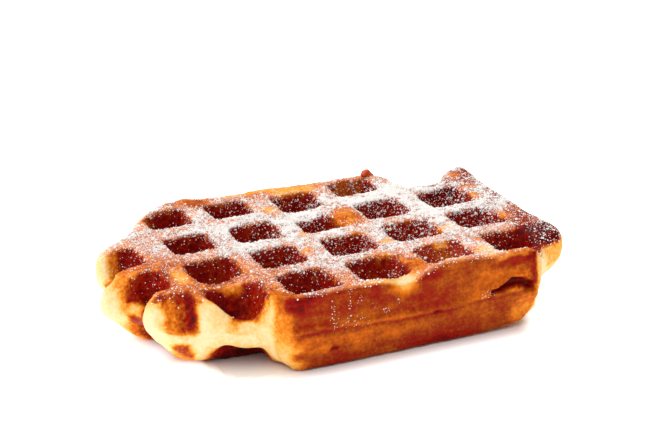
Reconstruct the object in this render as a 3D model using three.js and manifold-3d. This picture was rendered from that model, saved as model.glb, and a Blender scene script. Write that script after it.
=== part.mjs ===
// A Liege waffle: one thick piece of yeast dough baked between the two ribbed plates of an iron.
//
// Each plate leaves a lattice of ridges with a sloping square pocket in every cell. The front and
// the right-hand side were pressed straight by the walls of the iron, with a seam where the plates
// met. Everywhere else the dough stopped short of the walls: it reached furthest along a ridge, less
// far beside a pocket, and it rounded off freely above and below.
//
// Millimetres. X runs along the straight front side, Y away from it and Z up. The waffle lies on the
// ridges of its underside, and the origin is the middle of its outline, at the height they rest on.

import * as THREE from "three";
import { mergeVertices } from "three/addons/utils/BufferGeometryUtils.js";
import Module from "manifold-3d";

// Driving dimensions.
const PITCH = 25; // from one ridge to the next, both ways
const COLUMNS = 6;
const ROWS = 4;
const THICKNESS = 27;
const SEAM_HEIGHT = 15; // where the upper and the lower plate met

const POCKET_DEPTH = 11;
const POCKET_MOUTH = 15.5; // side of the square opening
const POCKET_FLOOR = 9; // side of the square floor
const POCKET_CORNER = 0.3; // part of half a side that each cut corner takes
const POCKET_SPREAD = { size: 0.03, depth: 0.05, shift: 0.4 }; // unevenness: shares, and mm of shift

const WALL_DRAFT = 1.5; // lean of a pressed wall over half the thickness
const LIP = 0.9; // how far the upper half stands out over the lower half at the seam
const FREE_TOP = 6.5; // how far a free edge has drawn in at the top
const FREE_BOTTOM = 16; // and at the underside
const FREE_TOP_POWER = 3.5; // a high power keeps the edge full and rounds it late
const FREE_BOTTOM_POWER = 1.65;

const FOLD = { x: 5.3 * PITCH, halfWidth: 0.55 * PITCH, halfHeight: 3.75, depth: 2.6 }; // in the front seam
const RIM_DIP = { x: 3.85 * PITCH, halfWidth: 0.45 * PITCH, reach: 0.4 * PITCH, depth: 2.4 };

const RING_STEPS = 132; // points round the outline
const RINGS_BELOW = [0, 0.25, 0.5, 0.75, 0.93]; // shares of the way from the underside up to the seam
const RINGS_ABOVE = [0, 0.2, 0.45, 0.7, 0.87, 1]; // and from the seam up to the top
const RINGS_ON_TOP = [0.15, 0.3, 0.45]; // how far in from the edge, in pitches
const WELD = 1e-4; // corners nearer than this are one
const CUT_OVERRUN = 2; // a pocket cutter starts this far outside the face it cuts

// The outline at its widest height, counter-clockwise from the left end of the front side:
// [x, y, freedom], x and y in pitches. Freedom is 0 at a pressed wall and 1 at a free edge.
const OUTLINE = [
  // the front side, straight
  [2.0, 0.0, 0.15],
  [2.3, -0.05, 0],
  [4.0, -0.05, 0],
  [5.38, -0.05, 0],
  // the front right corner, cut off by a free edge
  [5.66, 0.02, 0.4],
  [5.98, 0.33, 0.8],
  [6.34, 0.56, 0.8],
  // the right-hand side, straight
  [6.42, 0.92, 0.4],
  [6.34, 2.0, 0],
  [6.34, 3.1, 0.1],
  // a lobe, then a step where the last pocket of the back row is missing
  [6.26, 3.66, 0.6],
  [5.72, 3.4, 0.9],
  [5.3, 3.48, 0.9],
  [4.97, 4.04, 0.7],
  // the back side
  [4.6, 4.14, 0.5],
  [3.3, 4.25, 0.4],
  [2.4, 4.28, 0.5],
  [1.92, 4.36, 0.7],
  // the back left corner, cut off as far as the ridge before it
  [1.45, 4.18, 1],
  [1.08, 3.84, 1],
  [0.9, 3.54, 1],
  [0.56, 3.3, 1],
  // the left end: a lobe on each of three ridges, and a hollow beside each pocket
  [0.22, 2.98, 1],
  [0.32, 2.5, 1],
  [0.02, 2.0, 1],
  [0.4, 1.5, 1],
  [0.35, 1.02, 1],
  [0.78, 0.66, 0.6],
  // the front left corner: one more lobe, and a long hollow up to the front side
  [1.14, 0.56, 0.45],
  [1.46, 0.42, 0.6],
  [1.82, 0.16, 0.5],
];

// The line down the middle of the waffle that its edges draw in towards.
const SPINE = { from: [1.9, 2.05], to: [5.0, 2.0] };

// [column, row] of the cells that lie outside the outline.
const EMPTY_CELLS = [
  [0, 3],
  [5, 3],
];

// A top pocket that closed up again while the dough was soft.
const SHALLOW_POCKET = { column: 4, row: 0, depth: 7 };

// A number from -1 to 1 that stays the same for the same three whole numbers.
function unevenness(a, b, c) {
  const wave = Math.sin(a * 127.1 + b * 311.7 + c * 74.7) * 43758.5453;
  return 2 * (wave - Math.floor(wave)) - 1;
}

// 1 in the middle of a span and 0 from its ends outwards, smooth in between.
function bump(offset, halfWidth) {
  const t = Math.min(1, Math.abs(offset) / halfWidth);
  return (1 - t * t) ** 2;
}

// Points on a closed curve through the outline's rows, each with its freedom and inward direction.
function outlineStops() {
  const row = ([x, y, freedom]) => new THREE.Vector3(x * PITCH, y * PITCH, freedom);
  const curve = new THREE.CatmullRomCurve3(OUTLINE.map(row), true, "centripetal");
  const from = new THREE.Vector2(...SPINE.from).multiplyScalar(PITCH);
  const to = new THREE.Vector2(...SPINE.to).multiplyScalar(PITCH);
  const along = to.clone().sub(from);
  return curve.getSpacedPoints(RING_STEPS).slice(0, RING_STEPS).map((p) => {
    const place = new THREE.Vector2(p.x, p.y);
    const share = place.clone().sub(from).dot(along) / along.lengthSq();
    const onSpine = from.clone().addScaledVector(along, THREE.MathUtils.clamp(share, 0, 1));
    const inward = onSpine.sub(place).normalize();
    return { place, inward, freedom: THREE.MathUtils.clamp(p.z, 0, 1) };
  });
}

// The front rim sags where the dough before the fourth pocket never met the wall.
function topHeight(x, y) {
  return THICKNESS - RIM_DIP.depth * bump(x - RIM_DIP.x, RIM_DIP.halfWidth) * bump(y, RIM_DIP.reach);
}

// How far the edge stands in from the outline at this height.
function inset({ place, freedom }, z) {
  const above = z >= SEAM_HEIGHT;
  const share = above
    ? (z - SEAM_HEIGHT) / (THICKNESS - SEAM_HEIGHT)
    : (SEAM_HEIGHT - z) / SEAM_HEIGHT;
  const free = above
    ? FREE_TOP * share ** FREE_TOP_POWER
    : FREE_BOTTOM * share ** FREE_BOTTOM_POWER;
  const onFront = place.y < PITCH / 2 ? bump(place.x - FOLD.x, FOLD.halfWidth) : 0;
  const fold = FOLD.depth * onFront * bump(z - SEAM_HEIGHT, FOLD.halfHeight);
  const pressed = WALL_DRAFT * share + (above ? 0 : LIP) + fold;
  return THREE.MathUtils.lerp(pressed, free, freedom);
}

// A closed skin over rings of equally many points, from the lowest ring to the last, with the first
// and the last ring filled in.
function skin(rings) {
  const count = rings[0].length;
  const index = [];
  for (let level = 0; level + 1 < rings.length; level++) {
    for (let step = 0; step < count; step++) {
      const a = level * count + step;
      const b = level * count + ((step + 1) % count);
      index.push(a, b, b + count, a, b + count, a + count);
    }
  }
  const last = (rings.length - 1) * count;
  for (const [a, b, c] of THREE.ShapeUtils.triangulateShape(rings[0], [])) index.push(a, c, b);
  for (const [a, b, c] of THREE.ShapeUtils.triangulateShape(rings.at(-1), [])) {
    index.push(last + a, last + b, last + c);
  }
  const positions = rings.flatMap((ring) => ring.flatMap((p) => [p.x, p.y, p.z]));
  return new THREE.BufferGeometry()
    .setAttribute("position", new THREE.Float32BufferAttribute(positions, 3))
    .setIndex(index);
}

// The waffle before its pockets. Rings of points climb the edge, and the last few run in over the
// top, so that the sagging rim is followed.
function blankGeometry() {
  const ringAt = (z, extraInset) =>
    outlineStops().map((stop) => {
      const p = stop.place.clone().addScaledVector(stop.inward, inset(stop, z) + extraInset);
      return new THREE.Vector3(p.x, p.y, Math.min(z, topHeight(p.x, p.y)));
    });
  const below = RINGS_BELOW.map((share) => share * SEAM_HEIGHT);
  const above = RINGS_ABOVE.map((share) => THREE.MathUtils.lerp(SEAM_HEIGHT, THICKNESS, share));
  const edge = [...below, ...above].map((z) => ringAt(z, 0));
  const rim = RINGS_ON_TOP.map((share) => ringAt(THICKNESS, share * PITCH));
  return skin([...edge, ...rim]);
}

// What one stud of the iron pressed out: a square, cut at its corners, that narrows to the floor.
// It stands on its floor at the origin and widens along +Z.
function pocketGeometry(mouth, floor, depth) {
  const half = (height) => {
    const share = height / depth;
    return THREE.MathUtils.lerp(floor, mouth, share) / 2;
  };
  const octagon = (h) => {
    const c = h * (1 - POCKET_CORNER);
    return [[h, -c], [h, c], [c, h], [-c, h], [-h, c], [-h, -c], [-c, -h], [c, -h]];
  };
  return skin(
    [0, depth + CUT_OVERRUN].map((z) =>
      octagon(half(z)).map(([x, y]) => new THREE.Vector3(x, y, z)),
    ),
  );
}

// The cutters for the pockets of one face: side 1 is the top, side 0 the underside.
function pocketCutters(side) {
  const cutters = [];
  for (let column = 0; column < COLUMNS; column++) {
    for (let row = 0; row < ROWS; row++) {
      if (EMPTY_CELLS.some(([c, r]) => c === column && r === row)) continue;
      const uneven = (salt) => unevenness(column, row, 2 * salt + side);
      const size = 1 + POCKET_SPREAD.size * uneven(1);
      const closed = side === 1 && column === SHALLOW_POCKET.column && row === SHALLOW_POCKET.row;
      const depth = closed ? SHALLOW_POCKET.depth : POCKET_DEPTH * (1 + POCKET_SPREAD.depth * uneven(2));
      const cutter = pocketGeometry(POCKET_MOUTH * size, POCKET_FLOOR * size, depth);
      if (side === 0) cutter.rotateX(Math.PI);
      cutter.translate(
        (column + 0.5) * PITCH + POCKET_SPREAD.shift * uneven(3),
        (row + 0.5) * PITCH + POCKET_SPREAD.shift * uneven(4),
        side === 1 ? THICKNESS - depth : depth,
      );
      cutters.push(cutter);
    }
  }
  return cutters;
}

function solid(wasm, geometry) {
  const merged = mergeVertices(geometry, WELD);
  return new wasm.Manifold(
    new wasm.Mesh({
      numProp: 3,
      vertProperties: merged.attributes.position.array,
      triVerts: new Uint32Array(merged.index.array),
    }),
  );
}

function geometryOf(manifold) {
  const { vertProperties, triVerts } = manifold.getMesh();
  return new THREE.BufferGeometry()
    .setAttribute("position", new THREE.Float32BufferAttribute(vertProperties, 3))
    .setIndex(Array.from(triVerts));
}

const wasm = await Module();
wasm.setup();

let waffle = solid(wasm, blankGeometry());
for (const cutter of [...pocketCutters(1), ...pocketCutters(0)]) {
  waffle = waffle.subtract(solid(wasm, cutter));
}

const geometry = geometryOf(waffle);
geometry.computeBoundingBox();
const middle = geometry.boundingBox.getCenter(new THREE.Vector3());
geometry.translate(-middle.x, -middle.y, 0);
geometry.computeVertexNormals();

const crust = new THREE.MeshStandardMaterial({
  name: "baked_crust",
  color: new THREE.Color("#b4571c"),
  roughness: 0.5,
  metalness: 0,
});

const mesh = new THREE.Mesh(geometry, crust);
mesh.name = "waffle";

const group = new THREE.Group();
group.name = "liege_waffle";
group.add(mesh);

export default group;
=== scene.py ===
# %% [markdown]
# # A Liege waffle under icing sugar
#
# The real thing is a ball of buttery yeast dough with lumps of pearl sugar in it,
# pressed between two cast plates. Where the plates touch, the sugar caramelises:
# ridges turn orange brown, and the pockets, pressed nearest to the heat, go dark
# mahogany. Where the ball didn't quite fill the iron, it stays a soft cream colour.
# This lesson builds that crust as one closed surface, colours it by how near each
# point came to the iron, and then sieves icing sugar over it.

import bpy
import numpy as np
from mathutils import Matrix, Vector


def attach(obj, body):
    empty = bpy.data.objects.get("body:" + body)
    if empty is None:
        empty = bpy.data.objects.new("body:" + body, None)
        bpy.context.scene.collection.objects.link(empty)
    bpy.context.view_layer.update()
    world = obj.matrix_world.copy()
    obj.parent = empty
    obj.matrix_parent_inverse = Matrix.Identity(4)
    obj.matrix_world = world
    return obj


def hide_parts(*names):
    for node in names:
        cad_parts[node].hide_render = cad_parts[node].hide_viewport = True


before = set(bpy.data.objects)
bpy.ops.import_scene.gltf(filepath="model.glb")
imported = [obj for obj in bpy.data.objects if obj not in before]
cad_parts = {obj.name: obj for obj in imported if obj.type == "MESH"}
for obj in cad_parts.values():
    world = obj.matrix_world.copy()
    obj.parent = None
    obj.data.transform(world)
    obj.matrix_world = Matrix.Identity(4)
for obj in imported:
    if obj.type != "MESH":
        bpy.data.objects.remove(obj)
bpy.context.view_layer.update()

# %% [markdown]
# ## Working units
#
# A waffle is easiest to think about in millimetres and in squares of the iron.
# All shapes are worked out in millimetres from the corner of the iron's pattern,
# with x along the straight side, y away from it and z up. One function puts a
# finished surface in the mesh, in metres, and another makes hex colours linear.

# %% Units and the iron's pattern
MM = 0.001
PITCH = 25.0
COLUMNS, ROWS = 6, 4
THICKNESS = 27.0
PATTERN_CORNER = np.array([-80.593, -53.725, 0.0])
print("one square of the iron is", PITCH, "mm, and the waffle is", THICKNESS, "mm thick")


# %% A mesh from whole arrays
def add_piece(name, points, faces, material, smooth=True):
    """One mesh object from points (n, 3) in mm in the iron's pattern and faces (m, corners)."""
    mesh = bpy.data.meshes.new(name)
    corners = faces.shape[1]
    mesh.vertices.add(len(points))
    mesh.vertices.foreach_set("co", ((points + PATTERN_CORNER) * MM).astype(np.float32).ravel())
    mesh.loops.add(faces.size)
    mesh.loops.foreach_set("vertex_index", faces.astype(np.int32).ravel())
    mesh.polygons.add(len(faces))
    mesh.polygons.foreach_set("loop_start", np.arange(0, faces.size, corners, dtype=np.int32))
    mesh.polygons.foreach_set("use_smooth", np.full(len(faces), smooth))
    mesh.update(calc_edges=True)
    mesh.materials.append(material)
    piece = bpy.data.objects.new(name, mesh)
    bpy.context.scene.collection.objects.link(piece)
    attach(piece, "root")
    print(name, "has", len(points), "points and", len(faces) * (corners - 2), "triangles")
    return piece


def add_attribute(piece, name, values):
    """One number, or one vector, for each point of the piece, for its material to read."""
    kind, field = ("FLOAT", "value") if values.ndim == 1 else ("FLOAT_VECTOR", "vector")
    attribute = piece.data.attributes.new(name, kind, "POINT")
    attribute.data.foreach_set(field, values.astype(np.float32).ravel())


# %% Colours and nodes
HEX_KNEE, HEX_SLOPE, HEX_OFFSET, HEX_POWER = 0.04045, 12.92, 0.055, 2.4


def linear(hex_colour):
    """An sRGB hex colour as linear red, green, blue and alpha."""
    srgb = np.array([int(hex_colour[i : i + 2], 16) / 255 for i in (1, 3, 5)])
    curve = ((srgb + HEX_OFFSET) / (1 + HEX_OFFSET)) ** HEX_POWER
    return (*np.where(srgb <= HEX_KNEE, srgb / HEX_SLOPE, curve), 1.0)


def add_node(tree, kind, sockets=None, **settings):
    """Adds one node. settings are its own properties; sockets gives each input a value or a link."""
    node = tree.nodes.new(kind)
    for name, value in settings.items():
        setattr(node, name, value)
    for socket, value in (sockets or {}).items():
        if isinstance(value, bpy.types.NodeSocket):
            tree.links.new(value, node.inputs[socket])
        else:
            node.inputs[socket].default_value = value
    return node


def new_material(name):
    """An empty node material and its tree."""
    material = bpy.data.materials.new(name)
    material.use_nodes = True
    material.node_tree.nodes.clear()
    return material, material.node_tree


# %% [markdown]
# ## The edge of the dough
#
# The ball spread into a lobed shape: straight where it ran against the iron's
# wall, and with a lobe for each ridge where it stopped short. The table follows
# that edge anticlockwise. Each row also says how the edge looks in section:
# - pressed: 1 where a wall of the iron shaped it, 0 where it is a free, round edge
# - the distances over which a free edge rounds up to the top and down to the underside
# - the height at which the edge sticks out furthest, its belly.

# %% The outline table
OUTLINE = np.array([
    # squares along, squares away, pressed, top reach, bottom reach, belly height
    (2.00, 0.00, 0.9, 3.0, 5.0, 14.0),
    (2.30, -0.05, 1.0, 3.0, 4.0, 14.0),
    (4.00, -0.05, 1.0, 3.0, 4.0, 14.0),
    (5.38, -0.05, 1.0, 3.0, 4.0, 14.5),
    # the front right corner: the pressed side ends, then the dough hangs over, pale underneath
    (5.73, -0.03, 0.45, 3.0, 9.0, 18.0),
    (5.81, 0.14, 0.1, 4.0, 15.0, 19.0),
    (6.03, 0.34, 0.0, 5.0, 20.0, 20.5),
    (6.36, 0.53, 0.0, 4.0, 20.0, 21.5),
    # the right-hand side
    (6.43, 0.90, 0.2, 4.0, 18.0, 21.5),
    (6.36, 1.40, 0.9, 3.0, 5.0, 16.0),
    (6.33, 2.00, 1.0, 3.0, 4.0, 15.0),
    (6.33, 3.00, 1.0, 3.0, 4.0, 14.0),
    (6.38, 3.42, 0.4, 4.0, 6.0, 15.0),
    (6.26, 3.72, 0.0, 5.0, 9.0, 16.0),
    (5.94, 3.56, 0.0, 4.0, 7.0, 14.5),
    (5.62, 3.36, 0.0, 4.0, 6.0, 13.5),
    (5.32, 3.44, 0.0, 4.0, 6.0, 13.5),
    (5.20, 3.78, 0.0, 5.0, 7.0, 14.0),
    (4.95, 4.08, 0.0, 5.0, 8.0, 14.5),
    # the back side
    (4.60, 4.14, 0.3, 5.0, 9.0, 15.0),
    (3.90, 4.16, 0.6, 4.0, 7.0, 14.0),
    (3.30, 4.27, 0.5, 4.0, 7.0, 14.0),
    (2.40, 4.29, 0.4, 5.0, 8.0, 14.0),
    (1.95, 4.38, 0.0, 6.0, 11.0, 15.0),
    (1.50, 4.24, 0.0, 5.0, 11.0, 14.5),
    (1.14, 3.92, 0.0, 4.5, 9.0, 14.0),
    (0.92, 3.58, 0.0, 4.0, 8.0, 13.5),
    (0.60, 3.34, 0.0, 6.0, 12.0, 14.5),
    # the left end, a lobe for each ridge
    (0.24, 3.00, 0.0, 6.5, 13.0, 15.5),
    (0.33, 2.50, 0.0, 3.5, 5.0, 13.5),
    (0.03, 2.00, 0.0, 13.0, 11.0, 13.0),
    (0.40, 1.50, 0.0, 3.0, 4.0, 13.5),
    (0.36, 1.02, 0.0, 6.5, 13.0, 16.0),
    (0.62, 0.74, 0.0, 3.2, 5.0, 14.0),
    (0.93, 0.67, 0.0, 2.4, 3.6, 13.0),
    # the front left corner
    (1.14, 0.56, 0.0, 4.0, 8.0, 14.0),
    (1.46, 0.42, 0.0, 2.6, 3.2, 13.0),
    (1.80, 0.21, 0.0, 3.5, 4.0, 13.5),
])
print("the outline has", len(OUTLINE), "rows")

# %% [markdown]
# ## A smooth closed curve
#
# The table's rows are joined by a centripetal Catmull-Rom curve, which passes
# through every row without loops, even where rows are unevenly spaced. It is then
# cut into equal steps, so that a place on the edge is one number: the length
# along it. The section's values are carried along the same way, then averaged
# over a few millimetres so that one kind of edge melts into the next.

# %% The curve, in equal steps
SPAN_POINTS = 60
EDGE_STEP = 0.25
TANGENT_STEPS = 4
SECTION_BLUR = 9.0


def closed_curve(rows):
    """Catmull-Rom: each span blends three straight lines, timed by the roots of the gaps between rows."""
    before, start, end, after = (np.roll(rows, turn, axis=0)[:, None] for turn in (1, 0, -1, -2))
    times = [np.zeros((len(rows), 1, 1))]
    for a, b in ((before, start), (start, end), (end, after)):
        times.append(times[-1] + np.sqrt(np.linalg.norm(b - a, axis=-1, keepdims=True)))
    t0, t1, t2, t3 = times
    t = t1 + (np.arange(SPAN_POINTS) / SPAN_POINTS)[None, :, None] * (t2 - t1)
    first = ((t1 - t) * before + (t - t0) * start) / (t1 - t0)
    second = ((t2 - t) * start + (t - t1) * end) / (t2 - t1)
    third = ((t3 - t) * end + (t - t2) * after) / (t3 - t2)
    left = ((t2 - t) * first + (t - t0) * second) / (t2 - t0)
    right = ((t3 - t) * second + (t - t1) * third) / (t3 - t1)
    return (((t2 - t) * left + (t - t1) * right) / (t2 - t1)).reshape(-1, rows.shape[1])


dense = closed_curve(OUTLINE[:, :2] * PITCH)
dense_length = np.linalg.norm(np.roll(dense, -1, axis=0) - dense, axis=1)
dense_place = np.concatenate([[0], np.cumsum(dense_length)])
EDGE_LENGTH = dense_place[-1]
EDGE_COUNT = int(EDGE_LENGTH / EDGE_STEP)
EDGE_STEP = EDGE_LENGTH / EDGE_COUNT
edge_place = np.arange(EDGE_COUNT) * EDGE_STEP
dense_closed = np.vstack([dense, dense[:1]])
EDGE = np.column_stack([np.interp(edge_place, dense_place, dense_closed[:, k]) for k in (0, 1)])
tangent = np.roll(EDGE, -TANGENT_STEPS, axis=0) - np.roll(EDGE, TANGENT_STEPS, axis=0)
TANGENT = tangent / np.linalg.norm(tangent, axis=1)[:, None]
OUTWARD = np.column_stack([TANGENT[:, 1], -TANGENT[:, 0]])
print("the edge is", round(EDGE_LENGTH, 1), "mm long, in", EDGE_COUNT, "steps")


# %% The section's values along the edge
def along_edge(values):
    """One value a row becomes one a step: joined by straight lines, then averaged under a bell."""
    row_place = np.append(dense_place[:-1][::SPAN_POINTS], EDGE_LENGTH)
    joined = np.interp(edge_place, row_place, np.append(values, values[0]))
    width = int(SECTION_BLUR / EDGE_STEP)
    bell = np.hanning(width + 2)[1:-1]
    wrapped = np.concatenate([joined[-width:], joined, joined[:width]])
    return np.convolve(wrapped, bell / bell.sum(), "same")[width:-width]


PRESSED, TOP_REACH, BOTTOM_REACH, BELLY = (along_edge(OUTLINE[:, k]) for k in (2, 3, 4, 5))
print("a wall of the iron shaped", round(float(PRESSED.mean()) * 100), "% of the edge")


def at(table, place):
    """The value of a table along the edge, between its steps."""
    step = (place / EDGE_STEP) % EDGE_COUNT
    low = np.floor(step).astype(int)
    share = step - low
    share = share if table.ndim == 1 else share[:, None]
    return table[low % EDGE_COUNT] * (1 - share) + table[(low + 1) % EDGE_COUNT] * share


# %% The nearest place on the edge
BATCH = 2000


def nearest(points):
    """For points (n, 2): the place along the edge nearest to each, and how far inside it lies."""
    place, inside = np.empty(len(points)), np.empty(len(points))
    for start in range(0, len(points), BATCH):
        some = points[start : start + BATCH]
        closest = ((some[:, None] - EDGE[None]) ** 2).sum(-1).argmin(1)
        offset = some - EDGE[closest]
        forward = (offset * TANGENT[closest]).sum(1)
        place[start : start + BATCH] = closest * EDGE_STEP + np.clip(forward, -EDGE_STEP, EDGE_STEP)
        sideways = (offset * OUTWARD[closest]).sum(1)
        inside[start : start + BATCH] = -np.sign(sideways) * np.linalg.norm(offset, axis=1)
    return place % EDGE_LENGTH, inside


# %% [markdown]
# ## Unevenness
#
# Nothing on a waffle is exact. Gradient noise gives smooth random hills of a
# chosen size in millimetres: each corner of a grid of cubes has a random
# direction, and a point blends the slopes of its eight corners. Adding smaller
# copies gives the rougher, fractal kind. The numbers come from one fixed seed, so
# the waffle is the same each time.

# %% Gradient noise
SEED = 11
TABLE_SIZE = 256
NOISE_HEIGHT = 1.6
SEED_OFFSET = 17.3
LAYER_SEED = 7
draw = np.random.default_rng(SEED)
SHUFFLE = draw.permutation(TABLE_SIZE)
SLOPES = draw.normal(size=(TABLE_SIZE, 3))
SLOPES /= np.linalg.norm(SLOPES, axis=1)[:, None]
TURN = np.linalg.qr(draw.normal(size=(3, 3)))[0]


def noise(points, grain, seed=0):
    """Smooth hills about grain mm across, from -1 to 1, at points (n, 3).

    A point multiplies its offset from each corner of its cube with that corner's slope,
    and mixes the eight results by 6 t^5 - 15 t^4 + 10 t^3 along each axis.
    """
    scaled = points @ TURN / grain + SEED_OFFSET * seed
    cube = np.floor(scaled).astype(int)
    within = scaled - cube
    fade = within**3 * (within * (6 * within - 15) + 10)
    total = np.zeros(len(points))
    for corner in np.ndindex(2, 2, 2):
        x, y, z = ((cube + corner) & (TABLE_SIZE - 1)).T
        slope = SLOPES[SHUFFLE[(x + SHUFFLE[(y + SHUFFLE[z]) % TABLE_SIZE]) % TABLE_SIZE]]
        weight = np.prod(np.where(corner, fade, 1 - fade), axis=1)
        total += weight * ((within - corner) * slope).sum(1)
    return NOISE_HEIGHT * total


def rough(points, grain, seed=0, layers=3):
    """Noise plus copies at half the size and half the height, from about -1 to 1."""
    sizes = 0.5 ** np.arange(layers)
    parts = [size * noise(points, grain * size, seed + LAYER_SEED * k) for k, size in enumerate(sizes)]
    return sum(parts) / sizes.sum()


edge_noise = noise(np.column_stack([EDGE, np.zeros(EDGE_COUNT)]), PITCH)
print("round the edge, the noise goes from", edge_noise.min().round(2), "to", edge_noise.max().round(2))


# %% An S, the same S falling, and a bell
def ease(values, low, high):
    """0 below low, 1 above high, and a smooth S between them."""
    share = np.clip((values - low) / (high - low), 0, 1)
    return share * share * (3 - 2 * share)


def fall(values, low, high):
    """1 below low, 0 above high, and the same S between them."""
    return 1 - ease(values, low, high)


def bump(offset, width):
    """A bell, 1 at zero offset and near 0 two widths away."""
    return np.exp(-((offset / width) ** 2))


# %% [markdown]
# ## Pockets
#
# Each square of the iron presses a pocket with sloping walls: 18 mm wide at the
# mouth, 10 mm at the floor and about 11 mm deep, on both faces. Its outline is a
# superellipse, a square with round corners. From wall to floor the depth follows
# a ramp whose two bends are softened. Each pocket gets its own small shift,
# twist, size and depth, because the dough rises unevenly and tears a little when
# the iron opens. Those that stand out are then listed, and dough that rose
# back fills parts of three.

# %% Each pocket's own size
UNDER, OVER = 0, 1
SQUARES = (2, COLUMNS, ROWS)
SQUARENESS = 7.0
BEND_SOFTNESS = 18.0
# half-widths at the mouth and the floor, the depth, and how much each one varies
POCKET_MOUTH, MOUTH_VARIES = 9.1, 0.25
POCKET_FLOOR, FLOOR_VARIES = 5.0, 0.3
POCKET_DEPTH, DEPTH_VARIES = 11.2, 0.05
SHIFT_VARIES, TWIST_VARIES = 0.35, 0.04
pocket_draw = np.random.default_rng(SEED + 1)
pocket_shift = pocket_draw.uniform(-SHIFT_VARIES, SHIFT_VARIES, SQUARES + (2,))
pocket_mouth = POCKET_MOUTH + pocket_draw.uniform(-MOUTH_VARIES, MOUTH_VARIES, SQUARES)
pocket_floor = POCKET_FLOOR + pocket_draw.uniform(-FLOOR_VARIES, FLOOR_VARIES, SQUARES)
pocket_depth = POCKET_DEPTH * pocket_draw.uniform(1 - DEPTH_VARIES, 1 + DEPTH_VARIES, SQUARES)
pocket_twist = pocket_draw.uniform(-TWIST_VARIES, TWIST_VARIES, SQUARES)

# %% Pockets that stand out
# some of the top's pockets stand off the pattern, and the ones at the back closed up a little
STRAYED = (
    # column, row, shift along and away, half-width of the mouth, all mm
    (4, 0, 0.0, 0.3, 9.0), (5, 0, 0.9, 0.0, 9.0),
    (0, 1, -1.3, -0.8, 9.0), (2, 1, -1.0, -0.4, 8.6), (3, 1, 0.0, -1.4, 8.7),
    (0, 2, -1.6, -0.8, 8.8), (1, 2, 0.4, -0.2, 8.2), (3, 2, -0.7, -1.7, 9.0),
    (1, 3, 0.5, 0.6, 8.1), (2, 3, -0.6, 0.0, 7.9), (3, 3, -0.6, -3.4, 8.3), (4, 3, -1.0, 0.0, 8.5),
)
for column, row, along, away, mouth in STRAYED:
    pocket_shift[OVER, column, row] = (along, away)
    pocket_mouth[OVER, column, row] = mouth
# the one at the front left corner is pushed wide where the dough ran out, and the next sits back
pocket_shift[OVER, 0, 0] = (1.7, 0.0)
pocket_mouth[OVER, 0, 0], pocket_floor[OVER, 0, 0] = 9.6, 6.4
pocket_shift[OVER, 1, 0] = (-0.2, 0.9)
# below them, the underside's two pockets were barely pressed
pocket_depth[UNDER, 0, 0], pocket_depth[UNDER, 1, 0] = 9.0, 8.4
pocket_shift[UNDER, 1, 0] = (1.0, -1.0)
# one of the front row rose back and stayed shallow
pocket_depth[OVER, 4, 0], pocket_floor[OVER, 4, 0] = 6.0, 4.0
print("pocket depths on top, mm:", pocket_depth[OVER].round(1).tolist())

# %% The pressed depth at a point
# the outline strays from the superellipse by two sizes of noise: grain and height in mm
RIM_WANDER = ((9.0, 0.55), (3.4, 0.25))
FILL_ROUNDNESS, FILL_EDGE = 3, (0.7, 1.25)
FILLED = (
    # squares along and away, half-widths in squares, how much of the depth it takes
    (3.86, 2.45, 0.19, 0.4, 0.95),
    (3.5, 2.8, 0.5, 0.24, 0.9),
    (4.55, 3.16, 0.55, 0.15, 0.9),
    (4.96, 3.5, 0.2, 0.5, 0.9),
)


def pocket(points, face):
    """The depth pressed at points (n, 2), in mm, and the share of the pocket's full depth that it is."""
    square = np.floor(points / PITCH).astype(int)
    i, j = np.clip(square[:, 0], 0, COLUMNS - 1), np.clip(square[:, 1], 0, ROWS - 1)
    on_iron = (square == np.column_stack([i, j])).all(1)
    offset = points - (square + 0.5) * PITCH - pocket_shift[face, i, j]
    offset = offset + pocket_twist[face, i, j][:, None] * offset[:, ::-1] * (1, -1)
    deep = np.column_stack([points, np.full(len(points), PITCH * face)])
    for seed, (grain, height) in enumerate(RIM_WANDER):
        wander = [noise(deep, grain, 2 * seed + axis) for axis in (1, 2)]
        offset = offset + height * np.column_stack(wander)
    reach = (np.abs(offset) ** SQUARENESS).sum(1) ** (1 / SQUARENESS)
    mouth, floor = pocket_mouth[face, i, j], pocket_floor[face, i, j]
    ramp = BEND_SOFTNESS * (mouth - reach) / (mouth - floor)
    share = (np.logaddexp(0, ramp) - np.logaddexp(0, ramp - BEND_SOFTNESS)) / BEND_SOFTNESS
    share = share * on_iron
    for column, row, along, away, amount in FILLED if face == OVER else ():
        from_fill = np.abs(points / PITCH - (column, row)) / (along, away)
        from_fill = (from_fill**FILL_ROUNDNESS).sum(1) ** (1 / FILL_ROUNDNESS)
        share = share * (1 - amount * fall(from_fill, *FILL_EDGE))
    return pocket_depth[face, i, j] * share, share


# %% [markdown]
# ## The two pressed faces
#
# The top face is a nearly level plane less the pockets. Its rim sags beside the
# fourth pocket, one ridge sags too, and lobes, corners and stretches of rim stand
# up or sink, each by a smooth bell. The underside touches the table, and its left
# part lifts: the dough there never reached the lower plate. A little of the front
# right foot is off the table too.

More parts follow.
